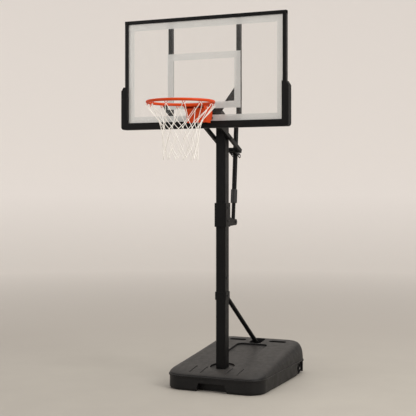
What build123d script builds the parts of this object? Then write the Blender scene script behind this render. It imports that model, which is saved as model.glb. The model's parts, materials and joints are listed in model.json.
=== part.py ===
from build123d import *
import math
import os

# ---------------------------------------------------------------------------
# Portable basketball hoop, in millimetres.  +Z is up, -Y faces the court, +Y
# is the back.  The origin is on the floor under the middle of the pole.
# ---------------------------------------------------------------------------

RUN = 0.05      # radial running clearance of a pivot
GAP = 0.3       # clearance between separate parts

# Base tank
BASE_W = 804.0
BASE_FRONT_Y = -230.0
BASE_REAR_Y = 930.0
BASE_CORNER_R = 138.0
FOOT_R = 20.0
TANK_WALL = 6.0
RIDGE_Z = 116.0            # parting line of the moulding
RIDGE_H = 13.0
RIDGE_OUT = 7.0
RIDGE_EDGE_R = 2.5
DECK_FRONT_Y = -62.0
DECK_REAR_Y = 862.0
DECK_W = 668.0
DECK_Z = 168.0             # deck height at the pole
DECK_SLOPE = 6.4           # degrees, rising to the rear
DECK_CORNER_R = 88.0
SHOULDER_RISE = (0.0, 0.34, 0.62, 0.82, 0.94, 1.0)
SHOULDER_POWER = 2.4       # how square the shoulder's section is
WELL_FLOOR_Z = 40.0
DISH_R = 98.0
DISH_DEPTH = 12.0
PANEL_Y = 512.0
PANEL_W = 270.0
PANEL_L = 364.0
PANEL_DEPTH = 16.0
PANEL_R = 46.0
RECESS_EDGE_R = 5.0
HAND_HOLD_W = 216.0        # across the top of the opening
HAND_HOLD_SPLAY = 24.0     # wider than that at the floor, each side
HAND_HOLD_H = 66.0
HAND_HOLD_DEPTH = 72.0
REAR_GRIP_X = 182.0
REAR_GRIP_Y = 794.0
REAR_GRIP_L = 150.0
REAR_GRIP_W = 46.0
REAR_GRIP_DEPTH = 30.0
GROOVE_X = (-198.0, -105.0, 105.0, 198.0)
GROOVE_W = 9.0
GROOVE_DEPTH = 4.0
WATER_LEVEL_Z = 138.0

# Fill cap
FILL_X = -100.0
FILL_Y = 215.0
FILL_HOLE_R = 22.0
CAP_R = 29.0
CAP_H = 13.0

# Wheels
WHEEL_R = 50.0
WHEEL_W = 40.0
WHEEL_X = 370.0
WHEEL_Y = 742.0
WHEEL_Z = 53.0
AXLE_R = 6.0
POCKET_IN_X = 342.0
POCKET_FRONT_Y = 664.0
POCKET_REAR_Y = 816.0
POCKET_TOP_Z = 110.0
SWEEP_Z0 = 16.0            # underside of the rear corners, behind the wheels
SWEEP_Z1 = 74.0

# Pole
POLE = 80.0
POLE_WALL = 2.5
POLE_R = 6.0
POLE_JOINT_Z = 1365.0
POLE_TOP_Z = 2112.0
SWAGE_L = 130.0
COLLAR = 100.0
COLLAR_Z0 = 1268.0
COLLAR_Z1 = 1457.0
BRACE_COLLAR = 93.0
BRACE_COLLAR_Z0 = 694.0
BRACE_COLLAR_Z1 = 757.0
POLE_BOLT_Z = 866.0

# Pole brace, from the brace collar down to the deck
BRACE_TOP_Y = 76.0
BRACE_TOP_Z = 714.0
BRACE_FOOT_Y = 815.0
BRACE_FOOT_Z = 206.0
BRACE_R = 18.0
SOCKET_FLOOR_Z = 186.0
SOCKET_W = 104.0
SOCKET_Y0 = 706.0
SOCKET_Y1 = 860.0
SOCKET_R = 22.0

# Lift linkage: two pairs of parallel arms
PIVOT_Z = 1967.0
LINK_RISE = 110.0          # upper arms above the lower ones
ARM_ANGLE = 23.4           # degrees, arms rise to the front
ARM_SPAN = 327.0
ARM_REAR = 236.0
ARM_X = 66.0
ARM_W = 20.0
ARM_H = 32.0
ARM_WALL = 2.5
PIVOT_R = 6.0
HEX_R = 10.5
HEX_H = 7.0
CARRIAGE_X = 46.0
PLATE = 4.0

# Adjuster strut
STRUT_FOOT_Y = 225.0
STRUT_FOOT_Z = 1298.0
STRUT_TOP_REACH = 298.0    # pole pivot to strut pin, along the arms
CLEVIS_R = 24.0            # rounded end of the collar's ears
SLOT_BACK = 4.0
SLOT_AHEAD = 36.0
SLOT_R = 10.5
STRUT_PIN_R = 6.0
ROD_R = 15.0
ROD_TOP = 420.0
TUBE_R = 19.0
TUBE_BORE_R = 15.6
TUBE_BOTTOM = 172.0
TUBE_TOP = 812.0
GRIP_R = 26.0
GRIP_BOTTOM = 154.0
GRIP_TOP = 266.0

# Backboard
BOARD_Y = -389.0           # front face of the frame
FRAME_W = 1324.0
FRAME_Z0 = 2041.0
FRAME_Z1 = 2872.0
FRAME_BAR = 27.0
FRAME_D = 42.0
SHEET_SET_BACK = 12.0
SHEET_T = 5.0
PRINT_T = 0.8
BORDER_SIDE = 47.0
BORDER_TOP = 52.0
BORDER_BOTTOM = 58.0
TARGET_W = 600.0
TARGET_Z0 = 2174.0
TARGET_Z1 = 2598.0
TARGET_STRIP = 50.0
REAR_BAR_X = 280.0
REAR_BAR = 30.0
REAR_BAR_D = 38.0
CROSSBAR_LOW_Z = 2099.0
CROSSBAR_HIGH_Z = 2200.0
PAD_OUT = 25.0
PAD_FRONT = 19.5
PAD_IN = 29.0
PAD_Z0 = 2026.0
PAD_TOP_Z = 2356.0
PAD_SHELF_Z = 2078.0
PAD_REAR_LIP = 9.0

# Rim
RING_Y = -780.0
RING_Z = 2192.0
RING_R = 239.0
RING_ROD_R = 10.5
HOOKS = 12
HOOK_R = 9.0
HOOK_WIRE_R = 2.4
HOOK_DROP = 14.5           # middle of the ring's rod to a hook's middle
RIM_PIN_Y = -394.0
RIM_PIN_Z = 2100.0
RIM_PIN_R = 5.0
RIM_PLATE_W = 144.0
RIM_PLATE_Z0 = 2086.0
RIM_PLATE_Z1 = 2216.0
HOUSING_W = 160.0
HOUSING_Z0 = 2061.0
HOUSING_REAR_Y = -390.0
HOUSING_STEP_Z = 2084.0    # below this the housing stands clear of the pad
HOUSING_STEP_Y = -416.0
HOUSING_LOW_REAR_Y = -426.0
HOUSING_WALL = 3.0
HOUSING_FRONT_TOP_Y = -566.0
HOUSING_FRONT_LOW_Y = -503.0
LUG_X = 36.0
NET_TOP_Z = 2164.0
NET_BOTTOM_Z = 1782.0

os.makedirs("parts", exist_ok=True)


def save(builder, label):
    """Label the finished piece and write its STEP file."""
    builder.part.label = label
    export_step(builder.part, f"parts/{label}.step")


# ---------------------------------------------------------------------------
# Shared shapes
# ---------------------------------------------------------------------------

BASE_L = BASE_REAR_Y - BASE_FRONT_Y
BASE_MID_Y = (BASE_REAR_Y + BASE_FRONT_Y) / 2
deck_tilt = math.radians(DECK_SLOPE)
deck_plane = Plane(
    origin=(0, 0, DECK_Z),
    x_dir=(1, 0, 0),
    z_dir=(0, -math.sin(deck_tilt), math.cos(deck_tilt)),
)


def tank_form(inset):
    """The moulding's outer form, drawn in by inset on every side."""
    with BuildPart() as form:
        with BuildSketch(Plane.XY.offset(inset)):
            with Locations((0, BASE_MID_Y)):
                RectangleRounded(BASE_W - 2 * inset, BASE_L - 2 * inset, BASE_CORNER_R - inset)
        extrude(amount=RIDGE_Z - inset)
        fillet(form.edges().group_by(Axis.Z)[0], FOOT_R - inset)
        # the shoulder: outlines that rise, tilt and draw in from the parting line to the deck
        for rise in SHOULDER_RISE:
            draw_in = 1 - (1 - rise**SHOULDER_POWER) ** (1 / SHOULDER_POWER)
            tilt = math.radians(DECK_SLOPE * rise)
            front = BASE_FRONT_Y + (DECK_FRONT_Y - BASE_FRONT_Y) * draw_in + inset
            rear = BASE_REAR_Y + (DECK_REAR_Y - BASE_REAR_Y) * draw_in - inset
            width = BASE_W + (DECK_W - BASE_W) * draw_in - 2 * inset
            corner = BASE_CORNER_R + (DECK_CORNER_R - BASE_CORNER_R) * draw_in - inset
            level = Plane(
                origin=(0, 0, RIDGE_Z + (DECK_Z - inset - RIDGE_Z) * rise),
                x_dir=(1, 0, 0),
                z_dir=(0, -math.sin(tilt), math.cos(tilt)),
            )
            with BuildSketch(level):
                with Locations((0, (front + rear) / 2 / math.cos(tilt))):
                    RectangleRounded(width, (rear - front) / math.cos(tilt), corner)
        loft()
    return form.part


hand_hold_plane = Plane(origin=(0, BASE_FRONT_Y + HAND_HOLD_DEPTH, 0), x_dir=(1, 0, 0), z_dir=(0, -1, 0))


def recesses(grow):
    """Every hollow that the moulding has from outside, enlarged by grow."""
    panel_plane = deck_plane.offset(-PANEL_DEPTH - grow)
    dish_plane = deck_plane.offset(-DISH_DEPTH - grow)
    grip_plane = deck_plane.offset(-REAR_GRIP_DEPTH - grow)
    above = 120.0
    with BuildPart() as tool:
        # square well that the pole stands in, and the dish round it
        with BuildSketch(Plane.XY.offset(WELL_FLOOR_Z - grow)):
            RectangleRounded(POLE + 2 + 2 * grow, POLE + 2 + 2 * grow, POLE_R + grow)
        extrude(amount=2 * above + grow)
        with BuildSketch(dish_plane):
            Circle(DISH_R + grow)
        extrude(amount=above)
        # long panel behind the pole
        with BuildSketch(panel_plane):
            with Locations((0, PANEL_Y)):
                RectangleRounded(PANEL_W + 2 * grow, PANEL_L + 2 * grow, PANEL_R + grow)
        extrude(amount=above)
        # hand recesses at the rear of the deck
        with BuildSketch(grip_plane):
            with Locations((-REAR_GRIP_X, REAR_GRIP_Y), (REAR_GRIP_X, REAR_GRIP_Y)):
                SlotOverall(REAR_GRIP_L + 2 * grow, REAR_GRIP_W + 2 * grow)
        extrude(amount=above)
        # socket for the pole brace
        with BuildSketch(Plane.XY.offset(SOCKET_FLOOR_Z - grow)):
            with Locations((0, (SOCKET_Y0 + SOCKET_Y1) / 2)):
                RectangleRounded(SOCKET_W + 2 * grow, SOCKET_Y1 - SOCKET_Y0 + 2 * grow, SOCKET_R + grow)
        extrude(amount=above)
        # hand hold under the front edge
        half_top = HAND_HOLD_W / 2 + grow
        half_low = half_top + HAND_HOLD_SPLAY * (1 + 40 / HAND_HOLD_H)
        with BuildSketch(hand_hold_plane.offset(-grow)):
            Polygon(
                (-half_low, -40),
                (half_low, -40),
                (half_top, HAND_HOLD_H + grow),
                (-half_top, HAND_HOLD_H + grow),
                align=None,
            )
        extrude(amount=HAND_HOLD_DEPTH + 40 + grow)
        # wheel arches, with the rear corners swept up behind them
        for side in (-1, 1):
            with BuildSketch(Plane.YZ.offset(side * (POCKET_IN_X - grow))):
                Polygon(
                    (POCKET_FRONT_Y - grow, -40),
                    (POCKET_FRONT_Y - grow, POCKET_TOP_Z + grow),
                    (POCKET_REAR_Y + grow, POCKET_TOP_Z + grow),
                    (POCKET_REAR_Y + grow, SWEEP_Z0 + grow),
                    (BASE_REAR_Y + 60, SWEEP_Z1 + grow),
                    (BASE_REAR_Y + 60, -40),
                    align=None,
                )
            extrude(amount=side * 120)
        # channel for the axle across the underside
        with Locations((0, WHEEL_Y, (WHEEL_Z + AXLE_R) / 2 - 20)):
            Box(BASE_W, 2 * AXLE_R + 2 * GAP + 2 * grow, WHEEL_Z + AXLE_R + 40 + 2 * GAP + 2 * grow)
    return tool.part


def square_tube(size, wall, radius, z0, z1):
    """Upright square tube centred on the Z axis."""
    with BuildPart() as tube:
        with BuildSketch(Plane.XY.offset(z0)):
            RectangleRounded(size, size, radius)
            RectangleRounded(size - 2 * wall, size - 2 * wall, max(radius - wall, 1.0), mode=Mode.SUBTRACT)
        extrude(amount=z1 - z0)
    return tube.part


def cross_bolt(x0, x1, y, z, radius, head_r, head_h):
    """Bolt along X with a hex head at x1 and a hex nut at x0, as one solid."""
    with BuildPart() as bolt:
        with BuildSketch(Plane.YZ.offset(x0 - head_h)):
            with Locations((y, z)):
                Circle(radius)
        extrude(amount=x1 - x0 + 2 * head_h)
        for start in (x0 - head_h, x1):
            with BuildSketch(Plane.YZ.offset(start)):
                with Locations((y, z)):
                    RegularPolygon(head_r, 6)
            extrude(amount=head_h)
    return bolt.part


# ---------------------------------------------------------------------------
# Base
# ---------------------------------------------------------------------------

outer_form = tank_form(0)
cavity = tank_form(TANK_WALL) - recesses(TANK_WALL)
skin = outer_form - tank_form(GROOVE_DEPTH)

with BuildPart() as ridge:
    with BuildSketch(Plane.XY.offset(RIDGE_Z - RIDGE_H)):
        with Locations((0, BASE_MID_Y)):
            RectangleRounded(BASE_W + 2 * RIDGE_OUT, BASE_L + 2 * RIDGE_OUT, BASE_CORNER_R + RIDGE_OUT)
    extrude(amount=RIDGE_H)
    fillet(ridge.edges().filter_by(Axis.Z, reverse=True), RIDGE_EDGE_R)
    with BuildSketch(Plane.XY.offset(RIDGE_Z - RIDGE_H)):
        with Locations((0, BASE_MID_Y)):
            RectangleRounded(BASE_W - 4, BASE_L - 4, BASE_CORNER_R - 2)
    extrude(amount=RIDGE_H, mode=Mode.SUBTRACT)

with BuildPart() as base_shell:
    add(outer_form)
    add(ridge.part)
    add(recesses(0), mode=Mode.SUBTRACT)
    deck_face = base_shell.faces().filter_by(GeomType.PLANE).filter_by(lambda f: f.normal_at().Z > 0.9)
    fillet(deck_face.sort_by(SortBy.AREA)[-1].inner_wires().edges(), RECESS_EDGE_R)
    # moulded grooves over the front shoulder
    for groove_x in GROOVE_X:
        with BuildPart(mode=Mode.PRIVATE) as slab:
            with Locations((groove_x, BASE_FRONT_Y / 2 - 40, DECK_Z + 20)):
                Box(GROOVE_W, -BASE_FRONT_Y - 5, DECK_Z - RIDGE_Z + 50)
        add(slab.part & skin, mode=Mode.SUBTRACT)
    add(cavity, mode=Mode.SUBTRACT)
    with BuildSketch(deck_plane.offset(-40)):
        with Locations((FILL_X, FILL_Y)):
            Circle(FILL_HOLE_R)
    extrude(amount=80, mode=Mode.SUBTRACT)
save(base_shell, "base_shell")

with BuildPart() as ballast_water:
    add(tank_form(TANK_WALL + 1) - recesses(TANK_WALL + 1))
    split(bisect_by=Plane.XY.offset(WATER_LEVEL_Z), keep=Keep.BOTTOM)
save(ballast_water, "ballast_water")

cap_plane = deck_plane.offset(2.0)
with BuildPart() as fill_cap:
    with BuildSketch(cap_plane):
        with Locations((FILL_X, FILL_Y)):
            Circle(CAP_R)
    extrude(amount=CAP_H)
    fillet(fill_cap.edges().group_by(Axis.Z)[-1], 3)
    with BuildSketch(cap_plane.offset(CAP_H - 1)):
        with Locations((FILL_X, FILL_Y)):
            SlotOverall(2 * CAP_R - 12, 12)
    extrude(amount=9)
    with BuildSketch(cap_plane):
        with Locations((FILL_X, FILL_Y)):
            Circle(FILL_HOLE_R - 0.6)
    extrude(amount=-20)
save(fill_cap, "fill_cap")

with BuildPart() as fill_cap_seal:
    with BuildSketch(deck_plane.offset(0.1)):
        with Locations((FILL_X, FILL_Y)):
            Circle(CAP_R - 1)
            Circle(FILL_HOLE_R + 0.2, mode=Mode.SUBTRACT)
    extrude(amount=1.8)
save(fill_cap_seal, "fill_cap_seal")


def wheel(side):
    """Moulded wheel with a slotted web, on the axle line."""
    centre = side * WHEEL_X
    wheel_plane = Plane.YZ.offset(centre - WHEEL_W / 2)
    web_plane = Plane.YZ.offset(centre - 6)
    with BuildPart() as form:
        with BuildSketch(wheel_plane):
            with Locations((WHEEL_Y, WHEEL_Z)):
                Circle(WHEEL_R)
                Circle(WHEEL_R - 9, mode=Mode.SUBTRACT)
        extrude(amount=WHEEL_W)
        fillet(form.edges().filter_by(GeomType.CIRCLE).sort_by(SortBy.RADIUS)[-2:], 4)
        with BuildSketch(wheel_plane):
            with Locations((WHEEL_Y, WHEEL_Z)):
                Circle(15)
        extrude(amount=WHEEL_W)
        with BuildSketch(web_plane):
            with Locations((WHEEL_Y, WHEEL_Z)):
                Circle(WHEEL_R - 8)
            with Locations((WHEEL_Y, WHEEL_Z)):
                with PolarLocations(28.5, 6, rotate=True):
                    SlotOverall(13, 9, rotation=90, mode=Mode.SUBTRACT)
        extrude(amount=12)
        with BuildSketch(wheel_plane):
            with Locations((WHEEL_Y, WHEEL_Z)):
                Circle(AXLE_R + RUN)
        extrude(amount=WHEEL_W, mode=Mode.SUBTRACT)
    return form.part


with BuildPart() as wheel_right:
    add(wheel(1))
save(wheel_right, "wheel_right")

with BuildPart() as wheel_left:
    add(wheel(-1))
save(wheel_left, "wheel_left")

with BuildPart() as wheel_axle:
    with Locations((0, WHEEL_Y, WHEEL_Z)):
        Cylinder(AXLE_R, 2 * (WHEEL_X + WHEEL_W / 2) + 14, rotation=(0, 90, 0))
save(wheel_axle, "wheel_axle")

with BuildPart() as axle_caps:
    for cap_side in (-1, 1):
        with Locations((cap_side * (WHEEL_X + WHEEL_W / 2 + 4), WHEEL_Y, WHEEL_Z)):
            Cylinder(12, 6, rotation=(0, 90, 0))
            Cylinder(AXLE_R, 6, rotation=(0, 90, 0), mode=Mode.SUBTRACT)
save(axle_caps, "axle_caps")

# ---------------------------------------------------------------------------
# Pole
# ---------------------------------------------------------------------------

arm_tilt = math.radians(ARM_ANGLE)
PIVOT_HIGH_Z = PIVOT_Z + LINK_RISE

with BuildPart() as pole_lower:
    add(square_tube(POLE, POLE_WALL, POLE_R, WELL_FLOOR_Z, POLE_JOINT_Z - GAP / 2))
    for hole_z in (BRACE_COLLAR_Z0 + 31, POLE_BOLT_Z, COLLAR_Z0 + 48):
        with Locations((0, 0, hole_z)):
            Cylinder(4.2, 2 * POLE, rotation=(0, 90, 0), mode=Mode.SUBTRACT)
save(pole_lower, "pole_lower")

with BuildPart() as pole_upper:
    add(square_tube(POLE, POLE_WALL, POLE_R, POLE_JOINT_Z + GAP / 2, POLE_TOP_Z))
    # swaged end that slides into the lower tube, and the step above it
    swage = POLE - 2 * POLE_WALL - 2 * GAP
    add(square_tube(swage, POLE_WALL + 1, POLE_R - POLE_WALL, POLE_JOINT_Z - SWAGE_L, POLE_JOINT_Z + 4))
    add(square_tube(POLE, POLE_WALL + 4, POLE_R, POLE_JOINT_Z + GAP / 2, POLE_JOINT_Z + 8))
    for hole_z in (COLLAR_Z0 + 48, COLLAR_Z1 - 40):
        with Locations((0, 0, hole_z)):
            Cylinder(4.2, 2 * POLE, rotation=(0, 90, 0), mode=Mode.SUBTRACT)
    for hole_z in (PIVOT_Z, PIVOT_HIGH_Z):
        with Locations((0, 0, hole_z)):
            Cylinder(PIVOT_R + 0.1, 2 * POLE, rotation=(0, 90, 0), mode=Mode.SUBTRACT)
save(pole_upper, "pole_upper")

with BuildPart() as pole_cap:
    with BuildSketch(Plane.XY.offset(POLE_TOP_Z)):
        RectangleRounded(POLE + 1, POLE + 1, POLE_R)
    extrude(amount=5)
    fillet(pole_cap.edges().group_by(Axis.Z)[-1], 3)
    with BuildSketch(Plane.XY.offset(POLE_TOP_Z - 18)):
        RectangleRounded(POLE - 2 * POLE_WALL - 1, POLE - 2 * POLE_WALL - 1, 3)
        RectangleRounded(POLE - 2 * POLE_WALL - 7, POLE - 2 * POLE_WALL - 7, 2, mode=Mode.SUBTRACT)
    extrude(amount=18)
save(pole_cap, "pole_cap")

with BuildPart() as pole_collar:
    with BuildSketch(Plane.XY.offset(COLLAR_Z0)):
        RectangleRounded(COLLAR, COLLAR, 10)
    extrude(amount=COLLAR_Z1 - COLLAR_Z0)
    fillet(pole_collar.edges().group_by(Axis.Z)[-1], 3)
    fillet(pole_collar.edges().group_by(Axis.Z)[0], 3)
    # two ears behind the collar for the strut's foot
    for ear_side in (-1, 1):
        with BuildSketch(Plane.YZ.offset(ear_side * 23 - 3)):
            with BuildLine():
                Polyline(
                    (COLLAR / 2 - 1, COLLAR_Z0 + 2),
                    (STRUT_FOOT_Y, STRUT_FOOT_Z - CLEVIS_R),
                )
                ThreePointArc(
                    (STRUT_FOOT_Y, STRUT_FOOT_Z - CLEVIS_R),
                    (STRUT_FOOT_Y + CLEVIS_R, STRUT_FOOT_Z),
                    (STRUT_FOOT_Y, STRUT_FOOT_Z + CLEVIS_R),
                )
                Polyline(
                    (STRUT_FOOT_Y, STRUT_FOOT_Z + CLEVIS_R),
                    (STRUT_FOOT_Y - 40, STRUT_FOOT_Z + CLEVIS_R),
                    (COLLAR / 2 - 1, COLLAR_Z0 + 84),
                    (COLLAR / 2 - 1, COLLAR_Z0 + 2),
                )
            make_face()
        extrude(amount=6)
    with BuildSketch(Plane.XY.offset(COLLAR_Z0)):
        RectangleRounded(POLE + 2 * GAP, POLE + 2 * GAP, POLE_R)
    extrude(amount=COLLAR_Z1 - COLLAR_Z0, mode=Mode.SUBTRACT)
    with Locations((0, STRUT_FOOT_Y, STRUT_FOOT_Z)):
        Cylinder(5.1, COLLAR, rotation=(0, 90, 0), mode=Mode.SUBTRACT)
    for hole_z in (COLLAR_Z0 + 48, COLLAR_Z1 - 40):
        with Locations((0, 0, hole_z)):
            Cylinder(4.2, 2 * COLLAR, rotation=(0, 90, 0), mode=Mode.SUBTRACT)
save(pole_collar, "pole_collar")

with BuildPart() as collar_bolts:
    for bolt_z in (COLLAR_Z0 + 48, COLLAR_Z1 - 40):
        add(cross_bolt(-COLLAR / 2, COLLAR / 2, 0, bolt_z, 4, 7.5, 5.5))
save(collar_bolts, "collar_bolts")

with BuildPart() as pole_bolt:
    add(cross_bolt(-POLE / 2, POLE / 2, 0, POLE_BOLT_Z, 4, 7.5, 5.5))
save(pole_bolt, "pole_bolt")

with BuildPart() as brace_collar:
    with BuildSketch(Plane.XY.offset(BRACE_COLLAR_Z0)):
        RectangleRounded(BRACE_COLLAR, BRACE_COLLAR, 9)
        RectangleRounded(POLE + 2 * GAP, POLE + 2 * GAP, POLE_R, mode=Mode.SUBTRACT)
    extrude(amount=BRACE_COLLAR_Z1 - BRACE_COLLAR_Z0)
    for ear_side in (-1, 1):
        with BuildSketch(Plane.YZ.offset(ear_side * 19 - 2)):
            with BuildLine():
                Polyline(
                    (BRACE_COLLAR / 2 - 1, BRACE_TOP_Z - 16),
                    (BRACE_TOP_Y, BRACE_TOP_Z - 16),
                )
                ThreePointArc(
                    (BRACE_TOP_Y, BRACE_TOP_Z - 16),
                    (BRACE_TOP_Y + 16, BRACE_TOP_Z),
                    (BRACE_TOP_Y, BRACE_TOP_Z + 16),
                )
                Polyline(
                    (BRACE_TOP_Y, BRACE_TOP_Z + 16),
                    (BRACE_COLLAR / 2 - 1, BRACE_TOP_Z + 16),
                    (BRACE_COLLAR / 2 - 1, BRACE_TOP_Z - 16),
                )
            make_face()
        extrude(amount=4)
    with Locations((0, BRACE_TOP_Y, BRACE_TOP_Z)):
        Cylinder(4.2, BRACE_COLLAR - 20, rotation=(0, 90, 0), mode=Mode.SUBTRACT)
    with Locations((0, 0, BRACE_COLLAR_Z0 + 31)):
        Cylinder(4.2, 2 * COLLAR, rotation=(0, 90, 0), mode=Mode.SUBTRACT)
save(brace_collar, "brace_collar")

brace_run = BRACE_FOOT_Y - BRACE_TOP_Y
brace_drop = BRACE_TOP_Z - BRACE_FOOT_Z
BRACE_L = math.hypot(brace_run, brace_drop)
brace_plane = Plane(
    origin=(0, BRACE_TOP_Y, BRACE_TOP_Z),
    x_dir=(1, 0, 0),
    z_dir=(0, brace_run, -brace_drop),
)
brace_side = Plane(
    origin=(0, BRACE_TOP_Y, BRACE_TOP_Z),
    x_dir=(0, brace_run, -brace_drop),
    z_dir=(1, 0, 0),
)

with BuildPart() as brace_tube:
    with BuildSketch(brace_plane.offset(26)):
        Circle(BRACE_R)
        Circle(BRACE_R - 2.5, mode=Mode.SUBTRACT)
    extrude(amount=BRACE_L - 52)
    # flattened ends with the bolt holes
    for along in (0, BRACE_L):
        inward = 1 if along == 0 else -1
        with BuildSketch(brace_side.offset(-5)):
            with Locations((along + inward * 14, 0)):
                Rectangle(28, 28)
            with Locations((along, 0)):
                Circle(14)
                Circle(4.2, mode=Mode.SUBTRACT)
        extrude(amount=10)
save(brace_tube, "brace_tube")

with BuildPart() as brace_foot:
    with Locations((0, BRACE_FOOT_Y, SOCKET_FLOOR_Z + 2.1)):
        Box(84, 76, 4)
    for ear_side in (-1, 1):
        with BuildSketch(Plane.YZ.offset(ear_side * 10 - 2)):
            with Locations((BRACE_FOOT_Y, BRACE_FOOT_Z)):
                Circle(15)
            with Locations((BRACE_FOOT_Y, (BRACE_FOOT_Z + SOCKET_FLOOR_Z) / 2)):
                Rectangle(30, BRACE_FOOT_Z - SOCKET_FLOOR_Z)
        extrude(amount=4)
    with Locations((0, BRACE_FOOT_Y, BRACE_FOOT_Z)):
        Cylinder(4.2, 40, rotation=(0, 90, 0), mode=Mode.SUBTRACT)
    with Locations((0, BRACE_FOOT_Y, SOCKET_FLOOR_Z - 29.9)):
        Box(200, 200, 60, mode=Mode.SUBTRACT)
save(brace_foot, "brace_foot")

with BuildPart() as brace_bolts:
    add(cross_bolt(-21, 21, BRACE_TOP_Y, BRACE_TOP_Z, 4, 7.5, 5.5))
    add(cross_bolt(-12, 12, BRACE_FOOT_Y, BRACE_FOOT_Z, 4, 7.5, 5.5))
    add(cross_bolt(-BRACE_COLLAR / 2, BRACE_COLLAR / 2, 0, BRACE_COLLAR_Z0 + 31, 4, 7.5, 5.5))
save(brace_bolts, "brace_bolts")

# ---------------------------------------------------------------------------
# Lift arms.  In arm_side, x runs rearwards along the arm and y is across it.
# ---------------------------------------------------------------------------

arm_dir = (0, math.cos(arm_tilt), -math.sin(arm_tilt))
CARRIAGE_Y = -ARM_SPAN * math.cos(arm_tilt)
CARRIAGE_LOW_Z = PIVOT_Z + ARM_SPAN * math.sin(arm_tilt)
CARRIAGE_HIGH_Z = CARRIAGE_LOW_Z + LINK_RISE


def arm_plane(pivot_z):
    """Side plane of an arm whose pole pivot is at pivot_z."""
    return Plane(origin=(0, 0, pivot_z), x_dir=arm_dir, z_dir=(1, 0, 0))


def arm(side, pivot_z, rear, open_rear):
    """Rectangular tube arm with a rounded front end and two pivot holes."""
    plane = arm_plane(pivot_z)
    centre = side * ARM_X
    bore_rear = rear + 1 if open_rear else rear - 16
    with BuildPart() as form:
        with BuildSketch(plane.offset(centre - ARM_W / 2)):
            with Locations(((rear - ARM_SPAN) / 2, 0)):
                Rectangle(rear + ARM_SPAN, ARM_H)
            with Locations((-ARM_SPAN, 0)):
                Circle(ARM_H / 2)
            if not open_rear:
                with Locations((rear, 0)):
                    Circle(ARM_H / 2)
        extrude(amount=ARM_W)
        with BuildSketch(plane.offset(centre - ARM_W / 2 + ARM_WALL)):
            with Locations(((bore_rear - ARM_SPAN + 16) / 2, 0)):
                Rectangle(bore_rear + ARM_SPAN - 16, ARM_H - 2 * ARM_WALL)
        extrude(amount=ARM_W - 2 * ARM_WALL, mode=Mode.SUBTRACT)
        # bosses that carry the pivots through the tube
        with BuildSketch(plane.offset(centre - ARM_W / 2)):
            with Locations((-ARM_SPAN, 0), (0, 0)):
                Circle(11)
        extrude(amount=ARM_W)
        with BuildSketch(plane.offset(centre - ARM_W / 2)):
            with Locations((-ARM_SPAN, 0), (0, 0)):
                Circle(PIVOT_R + RUN)
        extrude(amount=ARM_W, mode=Mode.SUBTRACT)
    return form.part


with BuildPart() as lower_arm_right:
    add(arm(1, PIVOT_Z, ARM_REAR, True))
save(lower_arm_right, "lower_arm_right")

with BuildPart() as lower_arm_left:
    add(arm(-1, PIVOT_Z, ARM_REAR, True))
save(lower_arm_left, "lower_arm_left")

with BuildPart() as upper_arm_right:
    add(arm(1, PIVOT_HIGH_Z, 6.0, False))
save(upper_arm_right, "upper_arm_right")

with BuildPart() as upper_arm_left:
    add(arm(-1, PIVOT_HIGH_Z, 6.0, False))
save(upper_arm_left, "upper_arm_left")

lower_side = arm_plane(PIVOT_Z)

with BuildPart() as arm_end_caps:
    for cap_side in (-1, 1):
        with BuildSketch(lower_side.offset(cap_side * ARM_X - ARM_W / 2 - 0.5)):
            with Locations((ARM_REAR + 2.5, 0)):
                Rectangle(5, ARM_H + 1)
        extrude(amount=ARM_W + 1)
        with BuildSketch(lower_side.offset(cap_side * ARM_X - ARM_W / 2 + ARM_WALL + 0.2)):
            with Locations((ARM_REAR - 7, 0)):
                Rectangle(14, ARM_H - 2 * ARM_WALL - 0.4)
        extrude(amount=ARM_W - 2 * ARM_WALL - 0.4)
save(arm_end_caps, "arm_end_caps")

CROSS_AT = ARM_REAR - 17
with BuildPart() as arm_crosspiece:
    with BuildSketch(lower_side.offset(-(ARM_X - ARM_W / 2))):
        with Locations((CROSS_AT, 0)):
            RectangleRounded(30, ARM_H, 3)
            Rectangle(24, ARM_H - 6, mode=Mode.SUBTRACT)
    extrude(amount=2 * ARM_X - ARM_W)
save(arm_crosspiece, "arm_crosspiece")

BRACKET_X = 23.0
BRACKET_R = SLOT_R + 6.5
BRACKET_FROM = CROSS_AT + 15
BRACKET_TO = STRUT_TOP_REACH + SLOT_AHEAD
with BuildPart() as lift_bracket:
    with BuildSketch(lower_side.offset(-BRACKET_X - PLATE)):
        with Locations((BRACKET_FROM + PLATE / 2, 0)):
            Rectangle(PLATE, 40)
    extrude(amount=2 * (BRACKET_X + PLATE))
    for ear_side in (-1, 1):
        ear_from = BRACKET_X if ear_side > 0 else -BRACKET_X - PLATE
        with BuildSketch(lower_side.offset(ear_from)):
            with Locations(((BRACKET_FROM + BRACKET_TO) / 2, 0)):
                Rectangle(BRACKET_TO - BRACKET_FROM, 2 * BRACKET_R)
            with Locations((BRACKET_TO, 0)):
                Circle(BRACKET_R)
            with Locations(((2 * STRUT_TOP_REACH + SLOT_AHEAD - SLOT_BACK) / 2, 0)):
                SlotCenterToCenter(SLOT_AHEAD + SLOT_BACK, 2 * SLOT_R, mode=Mode.SUBTRACT)
        extrude(amount=PLATE)
save(lift_bracket, "lift_bracket")

PIVOT_END_X = ARM_X + ARM_W / 2 + 1.0
with BuildPart() as pole_pivot_bolts:
    for pivot_z in (PIVOT_Z, PIVOT_HIGH_Z):
        add(cross_bolt(-PIVOT_END_X, PIVOT_END_X, 0, pivot_z, PIVOT_R, HEX_R, HEX_H))
save(pole_pivot_bolts, "pole_pivot_bolts")

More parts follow.
